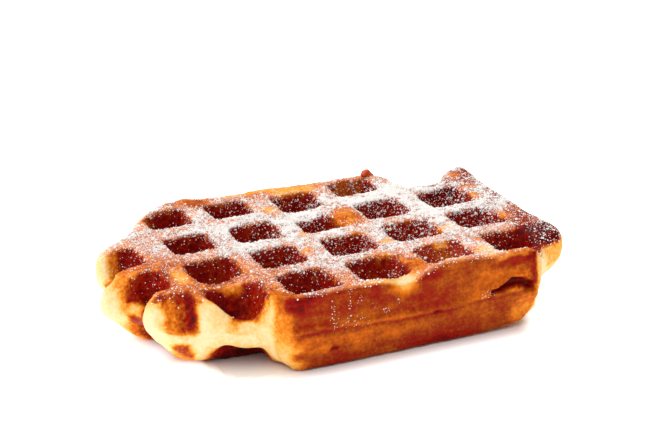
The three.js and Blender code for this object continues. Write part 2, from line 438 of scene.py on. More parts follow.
# %% Top and underside as heights
TOP_WAVE, TOP_WAVE_GRAIN, TOP_WAVE_BELOW = 0.32, 14.0, 1.1
SAG = {"place": 3.72, "along": 0.3, "away": 0.16, "depth": 2.6}
RIDGE_SAG = {"place": (1.47, 1.0), "along": 0.3, "away": 0.22, "depth": 2.2}
RAISED = (
    # squares along and away, width in squares, height in mm, below zero where it sank
    (6.15, 3.50, 0.28, 1.4), (2.00, 4.28, 0.10, 1.8), (1.60, 4.10, 0.60, 1.2), (5.00, 3.90, 0.25, 1.0),
    (4.30, 0.02, 0.24, 1.9), (4.65, 0.05, 0.24, 1.3), (5.40, 0.00, 0.30, 0.6), (1.80, 0.27, 0.12, 3.0),
    (1.22, 0.55, 0.11, 5.2), (1.35, 0.50, 0.08, 1.6), (5.10, 0.70, 0.90, 1.1), (3.88, 2.42, 0.15, 1.5),
    (0.30, 2.00, 0.20, -1.2), (3.40, 3.00, 0.30, -0.8),
)
FOOT_LIFT = {"start": 4.5, "full": 5.6, "width": 0.4, "height": 1.5}
LIFT = {"height": 7.0, "width": 0.66, "power": 1.5, "start": 0.72, "bend": 0.27, "middle": 2.0}
LIFT_CEILING = 11.5
POCKET_LIFT_SHARE = 0.25


def top_face(points):
    """Height of the top face at points (n, 2), and the pocket share there.

    It is a waved plane less the pockets and the two sags, plus a bell for each row of RAISED.
    """
    depth, share = pocket(points, OVER)
    u, v = (points / PITCH).T
    level = np.column_stack([points, np.zeros(len(points))])
    height = THICKNESS - TOP_WAVE * (TOP_WAVE_BELOW - rough(level, TOP_WAVE_GRAIN, seed=5)) - depth
    away = np.maximum(v, 0)
    height -= SAG["depth"] * bump(u - SAG["place"], SAG["along"]) * bump(away, SAG["away"])
    from_sag = bump(u - RIDGE_SAG["place"][0], RIDGE_SAG["along"])
    height -= RIDGE_SAG["depth"] * from_sag * bump(v - RIDGE_SAG["place"][1], RIDGE_SAG["away"])
    for column, row, width, rise in RAISED:
        height += rise * bump(u - column, width) * bump(v - row, width)
    return height, share


def underside(points):
    """Height of the underside at points (n, 2), and the pocket share there.

    It is the pockets plus the lift, a power of how far left of the ground line a point is.
    """
    depth, share = pocket(points, UNDER)
    u, v = (points / PITCH).T
    ground = LIFT["start"] + LIFT["bend"] * (v - LIFT["middle"]) ** 2
    lifted = LIFT["height"] * np.maximum((ground - u) / LIFT["width"], 0) ** LIFT["power"]
    height = depth + lifted * (1 - (1 - POCKET_LIFT_SHARE) * share)
    foot = ease(u, FOOT_LIFT["start"], FOOT_LIFT["full"]) * bump(v, FOOT_LIFT["width"])
    height += FOOT_LIFT["height"] * foot
    return np.minimum(height, np.maximum(depth, LIFT_CEILING)), share


# %% [markdown]
# ## A grid that follows the pattern
#
# The mesh for both faces is one grid whose lines crowd where the pocket walls
# are steep. Only squares inside the edge are kept. Their stepped border is then
# slid onto a smooth line just inside the edge, spread evenly along it, and the
# few rows behind it are relaxed so that no square is crushed.

# %% The grid's lines and kept squares
LINES_PER_SQUARE = 38
CROWDING = 0.4
BORDER = 2.4
GRID_U, GRID_V = (-0.15, 6.6), (-0.2, 4.55)


def grid_lines(first, last):
    """Even lines, pushed by a sine so that they crowd twice a square, where the walls are."""
    even = np.arange(round(first * LINES_PER_SQUARE), round(last * LINES_PER_SQUARE) + 1)
    even = even / LINES_PER_SQUARE
    return (even + CROWDING * np.sin(4 * np.pi * even) / (4 * np.pi)) * PITCH


grid = np.stack(np.meshgrid(grid_lines(*GRID_U), grid_lines(*GRID_V), indexing="ij"), -1)
NU, NV = grid.shape[:2]
grid_place, grid_inside = nearest(grid.reshape(-1, 2))
well_inside = (grid_inside > BORDER).reshape(NU, NV)
kept = well_inside[:-1, :-1] & well_inside[1:, :-1] & well_inside[:-1, 1:] & well_inside[1:, 1:]
padded = np.pad(kept, 1)
touching = sum(padded[a : a + NU, b : b + NV].astype(int) for a in (0, 1) for b in (0, 1))
used = touching > 0
border = used & (touching < 4)
number = np.full((NU, NV), -1)
number[used] = np.arange(used.sum())
SHEET_COUNT = int(used.sum())
print("the grid keeps", kept.sum(), "squares, with", border.sum(), "points on their border")

# %% The border as a loop, kept squares on its left
above, below = padded[1:-1, 1:], padded[1:-1, :-1]
right_of, left_of = padded[1:, 1:-1], padded[:-1, 1:-1]
edge_starts, edge_ends = [], []
for wanted, start, end in (
    (above & ~below, (0, 0), (1, 0)),
    (below & ~above, (1, 0), (0, 0)),
    (left_of & ~right_of, (0, 0), (0, 1)),
    (right_of & ~left_of, (0, 1), (0, 0)),
):
    i, j = np.nonzero(wanted)
    edge_starts.append(number[i + start[0], j + start[1]])
    edge_ends.append(number[i + end[0], j + end[1]])
edge_from, edge_to = np.concatenate(edge_starts), np.concatenate(edge_ends)
following, leading = np.zeros(SHEET_COUNT, int), np.zeros(SHEET_COUNT, int)
following[edge_from], leading[edge_to] = edge_to, edge_from
RIM = number[border]
print("the border's loop has", len(edge_from), "edges and", len(RIM), "points")

# %% Slide the border onto the line inside the edge
EVEN_ROUNDS, EVEN_STRENGTH = 30, 0.3


def wrapped(length):
    """A difference between two places along the edge, the short way round."""
    return (length + EDGE_LENGTH / 2) % EDGE_LENGTH - EDGE_LENGTH / 2


place = grid_place.reshape(NU, NV)[used]
for _ in range(EVEN_ROUNDS):
    ahead, behind = (wrapped(place[side[RIM]] - place[RIM]) for side in (following, leading))
    place[RIM] = (place[RIM] + EVEN_STRENGTH * (ahead + behind)) % EDGE_LENGTH
rim_place = place[RIM]
rim_edge, rim_outward, rim_pressed = (at(table, rim_place) for table in (EDGE, OUTWARD, PRESSED))
flat = grid.copy()
flat[border] = rim_edge - BORDER * rim_outward
gaps = wrapped(place[following[RIM]] - rim_place)
print("border points are", gaps.min().round(2), "to", gaps.max().round(2), "mm apart")

# %% Relax the rows behind it
RELAX_ROWS, RELAX_ROUNDS, RELAX_STRENGTH = 6, 25, 0.7


def neighbours(values):
    """The mean of each grid point's four neighbours, for every point but the outermost."""
    return (values[2:, 1:-1] + values[:-2, 1:-1] + values[1:-1, 2:] + values[1:-1, :-2]) / 4


reached, loosened = border.copy(), np.zeros((NU, NV))
for row in range(RELAX_ROWS):
    grown = reached.copy()
    grown[1:] |= reached[:-1]
    grown[:-1] |= reached[1:]
    grown[:, 1:] |= reached[:, :-1]
    grown[:, :-1] |= reached[:, 1:]
    loosened[grown & ~reached & used] = RELAX_STRENGTH * (1 - row / RELAX_ROWS)
    reached = grown
inner = loosened[1:-1, 1:-1, None]
for _ in range(RELAX_ROUNDS):
    flat[1:-1, 1:-1] += inner * (neighbours(flat) - flat[1:-1, 1:-1])
sheet = flat[used]
sheet_place, sheet_inside = nearest(sheet)
sheet_place[RIM], sheet_inside[RIM] = rim_place, BORDER
print("relaxed", int((loosened > 0).sum()), "points behind the border")

# %% [markdown]
# ## From plan to section
#
# Between the belly of the edge and each face, the dough's height is
# `belly + (face - belly) * rise`. The rise goes from 0 at the edge to 1 inside.
# A free edge rises as a quarter of an ellipse. A pressed one has already risen
# when the grid begins, and its wall is added as rings below. What is missing from
# the full rise is the gap to the iron, which is what kept the dough pale.

# %% The rise of a free edge
UNDER_FULLNESS = 0.74


def free_rise(inside, reach, fullness=1.0):
    """A quarter ellipse over the reach; a fullness below 1 flattens its first part."""
    share = np.clip(inside / reach, 0, 1)
    return np.sqrt(1 - (1 - share) ** 2) * (fullness + (1 - fullness) * share**2)


def rises(along, inside, pressed_rise):
    """The rise towards the top and the underside, free and pressed edges blended."""
    pressed = at(PRESSED, along)
    over = free_rise(inside, at(TOP_REACH, along))
    under = free_rise(inside, at(BOTTOM_REACH, along), UNDER_FULLNESS)
    return [pressed * pressed_rise + (1 - pressed) * rise for rise in (over, under)]


# near a free edge the dough swells back into its pockets, because nothing held it
SWELL_INSIDE, SWELL_WIDTH = 1.2, 2.4
SWELL_OVER, SWELL_UNDER = 2.2, 4.0


def section(points, belly, over, under, inside, free):
    """Top and underside points from plan points, with each one's gap to the iron and pocket share."""
    top, top_share = top_face(points)
    low, low_share = underside(points)
    swell = free * bump(inside - SWELL_INSIDE, SWELL_WIDTH)
    top, low = top + SWELL_OVER * swell * top_share, low - SWELL_UNDER * swell * low_share
    upper = np.column_stack([points, belly + (top - belly) * over])
    lower = np.column_stack([points, belly - (belly - low) * under])
    return (upper, (top - belly) * (1 - over), top_share), (lower, (belly - low) * (1 - under), low_share)


# %% The two sheets
OWN_SHARE = 0.2


def settled(values, rounds):
    """Sheet values averaged with their neighbours, off the border, so that no seam shows."""
    full = np.ones((NU, NV))
    full[used] = values
    free = (used & ~border)[1:-1, 1:-1]
    for _ in range(rounds):
        middle = full[1:-1, 1:-1]
        averaged = OWN_SHARE * middle + (1 - OWN_SHARE) * neighbours(full)
        full[1:-1, 1:-1] = np.where(free, averaged, middle)
    return full[used]


OVER_ROUNDS, UNDER_ROUNDS, BELLY_ROUNDS = 14, 40, 60
over_rise, under_rise = rises(sheet_place, sheet_inside, 1.0)
top_sheet, under_sheet = section(
    sheet,
    settled(at(BELLY, sheet_place), BELLY_ROUNDS),
    settled(over_rise, OVER_ROUNDS),
    settled(under_rise, UNDER_ROUNDS),
    sheet_inside,
    settled(1 - at(PRESSED, sheet_place), UNDER_ROUNDS),
)
print("the top sheet rises to", top_sheet[0][:, 2].max().round(2), "mm")

# %% The wall's rings, from each sheet's border to the belly
RINGS = 18
RIM_ROUNDING, WALL_DRAFT = 1.1, 1.3
ROUNDED_SHARE = 0.1
FREE_RING_POWER = 1.6
ring_share = np.arange(1, RINGS + 1) / RINGS
rounded = np.clip((ROUNDED_SHARE - ring_share) / ROUNDED_SHARE, 0, 1)
pressed_inside = WALL_DRAFT * (1 - ring_share) + RIM_ROUNDING * (1 - np.sqrt(1 - rounded**2))
pressed_inside *= BORDER / (WALL_DRAFT + RIM_ROUNDING)
free_inside = BORDER * (1 - ring_share) ** FREE_RING_POWER
upper_rings, lower_rings = [], []
for k in range(RINGS):
    inside = rim_pressed * pressed_inside[k] + (1 - rim_pressed) * free_inside[k]
    ring = rim_edge - rim_outward * inside[:, None]
    ring_rises = rises(rim_place, inside, 1 - ring_share[k])
    upper, lower = section(ring, at(BELLY, rim_place), *ring_rises, inside, 1 - rim_pressed)
    upper_rings.append(upper + (inside,))
    lower_rings.append(lower + (inside,))
print("the wall has", 2 * RINGS - 1, "rings of", len(RIM), "points")

# %% [markdown]
# ## One closed skin
#
# The top sheet, the rings and the underside join point to point. All faces are
# four-sided and turn anticlockwise seen from outside.

# %% Points and faces
layers = [top_sheet + (sheet_inside,), under_sheet + (sheet_inside,)]
layers += upper_rings + lower_rings[-2::-1]
points, gap, share, inside = (np.concatenate([layer[k] for layer in layers]) for k in range(4))
ring_places = [rim_place] * (2 * RINGS - 1)
edge_at = np.concatenate([sheet_place, sheet_place] + ring_places)
i, j = np.nonzero(kept)
top_faces = np.column_stack([number[i + a, j + b] for a, b in ((0, 0), (1, 0), (1, 1), (0, 1))])
rim_number = np.full(SHEET_COUNT, -1)
rim_number[RIM] = np.arange(len(RIM))
first_ring = 2 * SHEET_COUNT
steps = [first_ring + k * len(RIM) for k in range(2 * RINGS - 1)]
start_levels = [edge_from] + [step + rim_number[edge_from] for step in steps] + [edge_from + SHEET_COUNT]
end_levels = [edge_to] + [step + rim_number[edge_to] for step in steps] + [edge_to + SHEET_COUNT]
wall_faces = [
    np.column_stack([start_levels[k + 1], end_levels[k + 1], end_levels[k], start_levels[k]])
    for k in range(2 * RINGS)
]
faces = np.vstack([top_faces, top_faces[:, ::-1] + SHEET_COUNT] + wall_faces)
is_upper = np.zeros(len(points), bool)
is_upper[:SHEET_COUNT] = True
is_upper[first_ring : first_ring + RINGS * len(RIM)] = True
print("the skin has", len(points), "points and", len(faces), "faces")


# %% Directions that point out of the skin
def gathered(values):
    """For each point of the skin, the sum of the values (m, 3) of the faces that meet there."""
    return np.column_stack([
        np.bincount(faces.ravel(), np.repeat(values[:, k], 4), len(points)) for k in range(3)
    ])


def outward_directions():
    """A unit vector for each point: the mean of its faces' normals, by the cross of their diagonals."""
    a, b, c, d = (points[faces[:, k]] for k in range(4))
    total = gathered(np.cross(c - a, d - b))
    return total / np.linalg.norm(total, axis=1)[:, None]


# %% Soften the free edges
FREE_ROUNDS, FREE_DEPTH, FREE_BLEND = 14, 5.0, 3.0
WALL_FULL = 0.6
pressed_here = at(PRESSED, edge_at)
softness = ((1 - pressed_here) * fall(inside, FREE_DEPTH - FREE_BLEND, FREE_DEPTH))[:, None]
met = np.bincount(faces.ravel(), minlength=len(points))[:, None]
for _ in range(FREE_ROUNDS):
    points = points + softness * (gathered(points[faces].mean(1)) / met - points)
normals = outward_directions()
wall = fall(inside, WALL_FULL * BORDER, BORDER)
print("softened", round(float((softness > 0).mean()), 2), "of the points along the free edges")

# %% [markdown]
# ## Relief
#
# Real crust isn't smooth. Ridges are wrinkled, free edges swell in soft folds,
# and the side that slid along the iron is dragged into long shallow lines. The
# front side also has the seam where the two plates met, a fold of dough near the
# right end, a burst bubble and a few dents. All of these are pushed along the
# skin's outward direction, as real geometry.

# %% Overall relief
SOFT_GRAIN, SOFT_HEIGHT = 11.0, 0.55
RIDGE_GRAIN, RIDGE_HEIGHT, RIDGE_IN_POCKET = 5.0, 0.38, 0.35
WRINKLE_GRAIN, WRINKLE_HEIGHT, WRINKLE_IN_POCKET = 2.2, 0.24, 0.25
DRAG_HEIGHT, DRAG_GRAIN, DRAG_STRETCH = 0.24, 1.9, 7.0
FREE_REACH, FREE_CALM = 10.0, 0.6
RIDGE_SHARES = (0.05, 0.6)
# a place that is stretched along the edge: a circle as long as the edge, shrunk by the stretch
angle = 2 * np.pi * edge_at / EDGE_LENGTH
round_edge = EDGE_LENGTH / (2 * np.pi * DRAG_STRETCH)
drag_place = np.column_stack([round_edge * np.cos(angle), round_edge * np.sin(angle), points[:, 2]])
free_here = (1 - pressed_here) * fall(inside, BORDER, FREE_REACH)
ridge_here = fall(share, *RIDGE_SHARES)
ridged = RIDGE_IN_POCKET + (1 - RIDGE_IN_POCKET) * ridge_here
wrinkled = (WRINKLE_IN_POCKET + (1 - WRINKLE_IN_POCKET) * ridge_here) * (1 - FREE_CALM * free_here)
relief = SOFT_HEIGHT * free_here * noise(points, SOFT_GRAIN, seed=21)
relief += RIDGE_HEIGHT * ridged * rough(points, RIDGE_GRAIN, seed=22)
relief += WRINKLE_HEIGHT * wrinkled * noise(points, WRINKLE_GRAIN, seed=23)
relief += DRAG_HEIGHT * wall * pressed_here * rough(drag_place, DRAG_GRAIN, seed=24)
print("the relief goes from", relief.min().round(2), "to", relief.max().round(2), "mm")

# %% The seam where the plates met
FRONT_FACING, FOLD_FACING = (0.4, 0.8), (0.2, 0.6)
SEAM = np.array([
    # squares along, height
    (0.0, 12.8), (1.9, 13.3), (2.42, 14.2), (2.78, 14.1), (3.14, 13.4),
    (3.58, 12.6), (4.2, 12.6), (4.5, 12.9), (4.85, 14.0), (6.5, 15.0),
])
SEAM_MARKS = (
    # height above the seam, width, push outwards, all mm
    (0.7, 0.9, 0.6),
    (-0.7, 0.7, -0.5),
)
u, v, z = points[:, 0] / PITCH, points[:, 1] / PITCH, points[:, 2]
on_front = wall * pressed_here * ease(-normals[:, 1], *FRONT_FACING)
from_seam = z - np.interp(u, *SEAM.T)
for above, width, push in SEAM_MARKS:
    relief += push * on_front * bump(from_seam - above, width)
print("the seam runs", SEAM[:, 1].min(), "to", SEAM[:, 1].max(), "mm up the front side")

# %% The fold near the right end
FOLD = np.array([
    # squares along, height, half-height of the opening in mm
    (4.96, 15.3, 0.3), (5.03, 15.2, 0.4), (5.15, 16.0, 0.8), (5.29, 17.3, 1.5),
    (5.41, 16.9, 1.4), (5.55, 14.9, 1.5), (5.6, 14.0, 1.1),
]) * (PITCH, 1, 1)
FOLD_DEPTH, FOLD_EDGE = 2.8, (-0.5, 0.8)
FOLD_LIP = {"height": 0.7, "away": 1.5, "width": 0.8, "start": 16.5, "full": 18.5}
side_place = np.column_stack([points[:, 0], z])
from_fold = np.full(len(points), np.inf)
for start, end in zip(FOLD[:-1], FOLD[1:]):
    run = (end - start)[:2]
    part = np.clip((side_place - start[:2]) @ run / (run @ run), 0, 1)
    opening = start[2] + part * (end[2] - start[2])
    away = np.linalg.norm(side_place - start[:2] - part[:, None] * run, axis=1)
    from_fold = np.minimum(from_fold, away - opening)
fold_here = wall * ease(-normals[:, 1], *FOLD_FACING)
relief -= FOLD_DEPTH * fold_here * fall(from_fold, *FOLD_EDGE)
lip = bump(from_fold - FOLD_LIP["away"], FOLD_LIP["width"]) * ease(z, FOLD_LIP["start"], FOLD_LIP["full"])
relief += FOLD_LIP["height"] * fold_here * lip
print("the fold is", round(float(np.linalg.norm(np.diff(FOLD[:, :2], axis=0), axis=1).sum()), 1), "mm long")

# %% The nipped end, a burst bubble and dents
END_ALONG, END_AWAY = (5.3, 5.55), (0.2, 0.4)
END_MARKS = (
    # height, width, push outwards, all mm
    (7.0, 3.2, -1.2),
    (1.5, 1.5, 1.5),
)
at_end = wall * ease(u, *END_ALONG) * fall(v, *END_AWAY)
for height, width, push in END_MARKS:
    relief += push * at_end * bump(z - height, width)
BUBBLE = {"along": 3.04, "height": 19.5, "radius": 3.3, "rim": 0.45, "rim_width": 0.8}
BUBBLE_HOLLOW = {"depth": 0.3, "width": 2.0}
from_bubble = np.hypot(points[:, 0] - BUBBLE["along"] * PITCH, z - BUBBLE["height"])
relief += BUBBLE["rim"] * on_front * bump(from_bubble - BUBBLE["radius"], BUBBLE["rim_width"])
relief -= BUBBLE_HOLLOW["depth"] * on_front * bump(from_bubble, BUBBLE_HOLLOW["width"])
DENTS = (
    # squares along, then height, width and depth in mm
    (2.63, 6.8, 1.8, 0.7), (4.13, 12.2, 1.3, 0.7), (4.6, 9.0, 1.6, 0.5),
    (3.3, 5.0, 2.0, 0.5), (3.9, 19.0, 1.5, 0.5),
)
for column, height, width, depth in DENTS:
    relief -= depth * on_front * bump(np.hypot(points[:, 0] - column * PITCH, z - height), width)
print("with all its marks, the relief goes from", relief.min().round(2), "to", relief.max().round(2), "mm")

# %% Push the skin, and keep it on the table
points = points + normals * relief[:, None]
points[:, 2] = np.maximum(points[:, 2], 0.0)
normals = outward_directions()
print("the crust spans", (points.max(0) - points.min(0)).round(1), "mm")

# %% [markdown]
# ## Browning
#
# How dark each point is depends on how near it came to hot iron. Ridges get a
# middle brown, and pockets, whose walls and floors were wrapped round the iron's
# studs, a deep caramel. The gap found above fades this to raw cream over a couple
# of millimetres. The sides get bands, and a small table of lighter and darker
# places. Two lists then set what stands out: soft patches that add to the
# browning, and tones, blocks with a browning of their own. Some of these marks
# are painted light: painted shade in the fold, under the seam's lip, on the
# underside seen through the front left corner and on the pale front right lobe,
# and a painted highlight along the top of the seam.

# %% How brown each point is, from 0 cream to 1 charred
RIDGE_BROWN, UNDER_RIDGE_BROWN, POCKET_BROWN = 0.49, 0.55, 0.81
FADE, UPPER_FADE, FADE_VARIES, FADE_GRAIN = 2.2, 0.5, 0.5, 5.0
BAKED_SIDES = (0.1, 0.5)
POCKET_SHARES, EDGE_WANDER, EDGE_GRAIN = (0.03, 0.10), 0.06, 3.0
RIDGE_CLOUDS, RIDGE_CLOUD_GRAIN, RIDGE_SPOTS, RIDGE_SPOT_GRAIN = 0.11, 7.0, 0.09, 2.0
POCKET_CLOUDS, POCKET_CLOUD_GRAIN = 0.05, 6.0
# the outermost pockets, at the left end, stay lighter on their open side
OPEN_SIDE = {"lighter": 0.26, "start": 6.0, "full": 9.5, "wander": 2.0, "grain": 5.0, "columns": (0.9, 1.3)}
varied_gap = np.maximum(gap * (1 + FADE_VARIES * noise(points, FADE_GRAIN, seed=31)), 0)
touch = np.exp(-varied_gap / (FADE * (1 + UPPER_FADE * is_upper)))
side_baked = wall * ease(pressed_here, *BAKED_SIDES)
touch = touch + (1 - touch) * side_baked
into_pocket = ease(share + EDGE_WANDER * noise(points, EDGE_GRAIN, seed=32), *POCKET_SHARES)
ridge_brown = np.where(is_upper, RIDGE_BROWN, UNDER_RIDGE_BROWN)
ridge_brown = ridge_brown + RIDGE_CLOUDS * rough(points, RIDGE_CLOUD_GRAIN, seed=33)
ridge_brown += RIDGE_SPOTS * noise(points, RIDGE_SPOT_GRAIN, seed=45)
pocket_brown = POCKET_BROWN + POCKET_CLOUDS * rough(points, POCKET_CLOUD_GRAIN, seed=34)
left_of_middle = -(u - np.floor(u) - 0.5) * PITCH
left_of_middle += OPEN_SIDE["wander"] * noise(points, OPEN_SIDE["grain"], seed=38)
at_left = ease(left_of_middle, OPEN_SIDE["start"], OPEN_SIDE["full"]) * fall(u, *OPEN_SIDE["columns"])
pocket_brown -= OPEN_SIDE["lighter"] * at_left * is_upper
brown = ridge_brown + (pocket_brown - ridge_brown) * into_pocket
print("browning before the gap fades it: from", brown.min().round(2), "to", brown.max().round(2))

# %% Bands and clouds on the sides
WALL_BROWN = 0.68
WALL_CLOUDS, WALL_CLOUD_GRAIN = 0.12, 9.0
WALL_SPOTS, WALL_SPOT_GRAIN = 0.04, 3.2
WALL_STREAKS, WALL_STREAK_GRAIN = 0.03, 2.0
TOP_BAND = {"change": 0.06, "heights": (21.0, 25.0)}
PALE_BAND = {"change": -0.10, "height": 9.0, "width": 4.0, "columns": (3.4, 4.4)}
FOOT_BAND = {"change": 0.05, "heights": (1.0, 5.0)}
CENTRE_CLOUD = {"change": 0.08, "along": 4.1, "half_along": 0.5, "height": 19.0, "width": 5.0}
RIGHT_CLOUD = {"change": -0.12, "columns": (4.3, 5.0), "height": 20.5, "width": 3.5}
# painted light at the seam: a darker line of painted shade just under its lip, and a lighter line of painted
# highlight just above it
SEAM_SHADE_AND_LIGHT = (
    # height above the seam, width, change
    (-0.9, 0.6, 0.10),
    (0.8, 0.9, -0.07),
)
wall_brown = WALL_BROWN + WALL_CLOUDS * rough(points, WALL_CLOUD_GRAIN, seed=35)
wall_brown += WALL_SPOTS * noise(points, WALL_SPOT_GRAIN, seed=40)
wall_brown += WALL_STREAKS * noise(drag_place, WALL_STREAK_GRAIN, seed=36)
wall_brown += TOP_BAND["change"] * ease(z, *TOP_BAND["heights"])
wall_brown += FOOT_BAND["change"] * fall(z, *FOOT_BAND["heights"])
pale_band = bump(z - PALE_BAND["height"], PALE_BAND["width"]) * fall(u, *PALE_BAND["columns"])
wall_brown += PALE_BAND["change"] * pale_band
centre = bump(u - CENTRE_CLOUD["along"], CENTRE_CLOUD["half_along"])
wall_brown += CENTRE_CLOUD["change"] * centre * bump(z - CENTRE_CLOUD["height"], CENTRE_CLOUD["width"])
right_cloud = ease(u, *RIGHT_CLOUD["columns"]) * bump(z - RIGHT_CLOUD["height"], RIGHT_CLOUD["width"])
wall_brown += RIGHT_CLOUD["change"] * right_cloud
for above, width, change in SEAM_SHADE_AND_LIGHT:
    wall_brown += change * bump(from_seam - above, width)
print("the sides' browning: mean", wall_brown[side_baked > 0].mean().round(3))

# %% Lighter and darker places along the front side
# a row for each height, a column for each of twelve even places along
SIDE_ALONG, SIDE_HEIGHTS = np.linspace(2.15, 5.45, 12), np.array([5.0, 10.0, 15.0, 19.5, 24.0])
SIDE_CHANGES = np.array([
    (-0.08, 0.00, 0.05, -0.02, -0.02, 0.05, 0.05, 0.09, 0.06, -0.03, 0.01, -0.10),
    (-0.01, 0.03, -0.01, 0.00, 0.03, 0.04, 0.02, -0.02, -0.03, -0.06, 0.05, 0.01),
    (0.03, 0.04, 0.01, -0.07, -0.06, -0.01, 0.08, 0.04, 0.04, -0.12, -0.07, 0.00),
    (0.07, 0.00, 0.00, -0.08, 0.06, 0.10, 0.06, 0.02, -0.05, 0.00, 0.02, 0.02),
    (0.03, -0.08, -0.02, 0.00, 0.13, -0.06, 0.01, -0.07, -0.05, -0.05, 0.07, 0.06),
])
level_changes = np.array([np.interp(u, SIDE_ALONG, changes) for changes in SIDE_CHANGES])
lower = np.clip(np.searchsorted(SIDE_HEIGHTS, z) - 1, 0, len(SIDE_HEIGHTS) - 2)
between = ease(z, SIDE_HEIGHTS[lower], SIDE_HEIGHTS[lower + 1])
everyone = np.arange(len(points))
wall_brown += level_changes[lower, everyone] * (1 - between) + level_changes[lower + 1, everyone] * between
brown = brown + (wall_brown - brown) * side_baked
brown = brown * touch
print("browning of the whole skin: mean", brown.mean().round(3))

# %% Soft patches, lighter and darker
PATCH_RAGGED, PATCH_GRAIN = 0.25, 4.0
PATCHES = (
    # squares along, squares away, height, radius mm, change
    (3.3, 0.0, 27.0, 4.5, -0.25),
    (3.7, 0.0, 24.4, 5.0, -0.5),
    (2.1, -0.02, 24.2, 4.0, 0.1),
    (2.35, -0.02, 24.8, 3.5, 0.1),
    (1.72, 0.2, 18.0, 5.0, 0.1),
    (2.87, 1.5, 25.5, 2.6, -0.22),
    (5.96, 2.74, 26.5, 3.0, -0.14),
    (5.9, 2.36, 26.5, 3.6, -0.26),
    (5.91, 1.46, 26.5, 4.0, -0.16),
    (4.86, 1.33, 26.5, 2.2, -0.25),
    (4.0, 1.28, 26.8, 2.2, -0.3),
    (3.93, 0.3, 26.6, 3.6, 0.1),
    (3.92, 0.7, 26.5, 2.6, 0.1),
    (4.63, 0.72, 23.0, 5.0, -0.08),
    (4.42, 0.3, 22.0, 4.0, -0.06),
    (6.0, 3.24, 27.0, 2.5, -0.34),
    (3.07, 2.1, 26.7, 2.6, -0.2),
    (3.0, 3.22, 27.0, 3.5, -0.24),
    (4.6, 1.9, 26.3, 2.0, -0.08),
    (0.6, 0.8, 21.0, 4.5, -0.2),
    (5.6, 0.0, 9.0, 9.0, -0.2),
    (5.74, 0.02, 22.0, 2.5, -0.3),
    (4.5, 0.5, 20.0, 9.0, -0.16),
    (4.5, 1.5, 17.0, 9.0, -0.05),
    (3.5, 1.5, 17.0, 9.0, -0.06),
    (3.5, 0.5, 17.0, 9.0, -0.05),
    (1.54, 0.66, 20.0, 6.0, 0.04),
    (1.5, 1.5, 17.0, 9.0, -0.05),
    (0.6, 1.5, 18.0, 7.0, 0.06),
    (0.2, 1.72, 20.0, 4.5, 0.1),
    (1.4, 1.0, 27.0, 8.0, 0.09),
    (0.9, 2.0, 27.0, 8.0, 0.05),
    (1.3, 0.5, 11.0, 7.0, 0.05),
    (4.7, 0.0, 16.0, 16.0, -0.05),
    (0.55, 1.02, 26.0, 4.0, 0.1),
    # partly the lobe's own colour and partly painted shade: the front right lobe is browned, as it faces away
    # from the light
    (6.15, 0.5, 13.0, 9.0, 0.17),
    (1.26, 3.76, 23.0, 2.8, -0.3),
    (1.94, 3.5, 26.8, 4.0, -0.16),
    (5.05, 0.3, 26.5, 4.5, -0.34),
    (5.03, 1.34, 26.0, 3.5, -0.3),
    (5.9, 0.25, 26.0, 5.0, 0.2),
    (6.2, 2.2, 27.0, 10.0, 0.27),
    (6.2, 1.3, 27.0, 8.0, 0.22),
    (6.15, 3.2, 27.0, 9.0, 0.28),
    (5.6, 2.95, 27.0, 6.0, 0.12),
    (6.0, 1.05, 27.0, 5.0, 0.12),
    (2.1, 3.9, 26.5, 5.0, 0.12),
    (2.0, 0.12, 26.5, 3.5, 0.1),
    (4.45, 0.12, 26.5, 4.0, -0.12),
)
for column, row, height, radius, change in PATCHES:
    far = np.linalg.norm(points - (column * PITCH, row * PITCH, height), axis=1)
    ragged = far * (1 + PATCH_RAGGED * noise(points, PATCH_GRAIN, seed=37))
    brown = brown + change * bump(ragged, radius)
print(len(PATCHES), "patches leave the mean at", brown.mean().round(3))

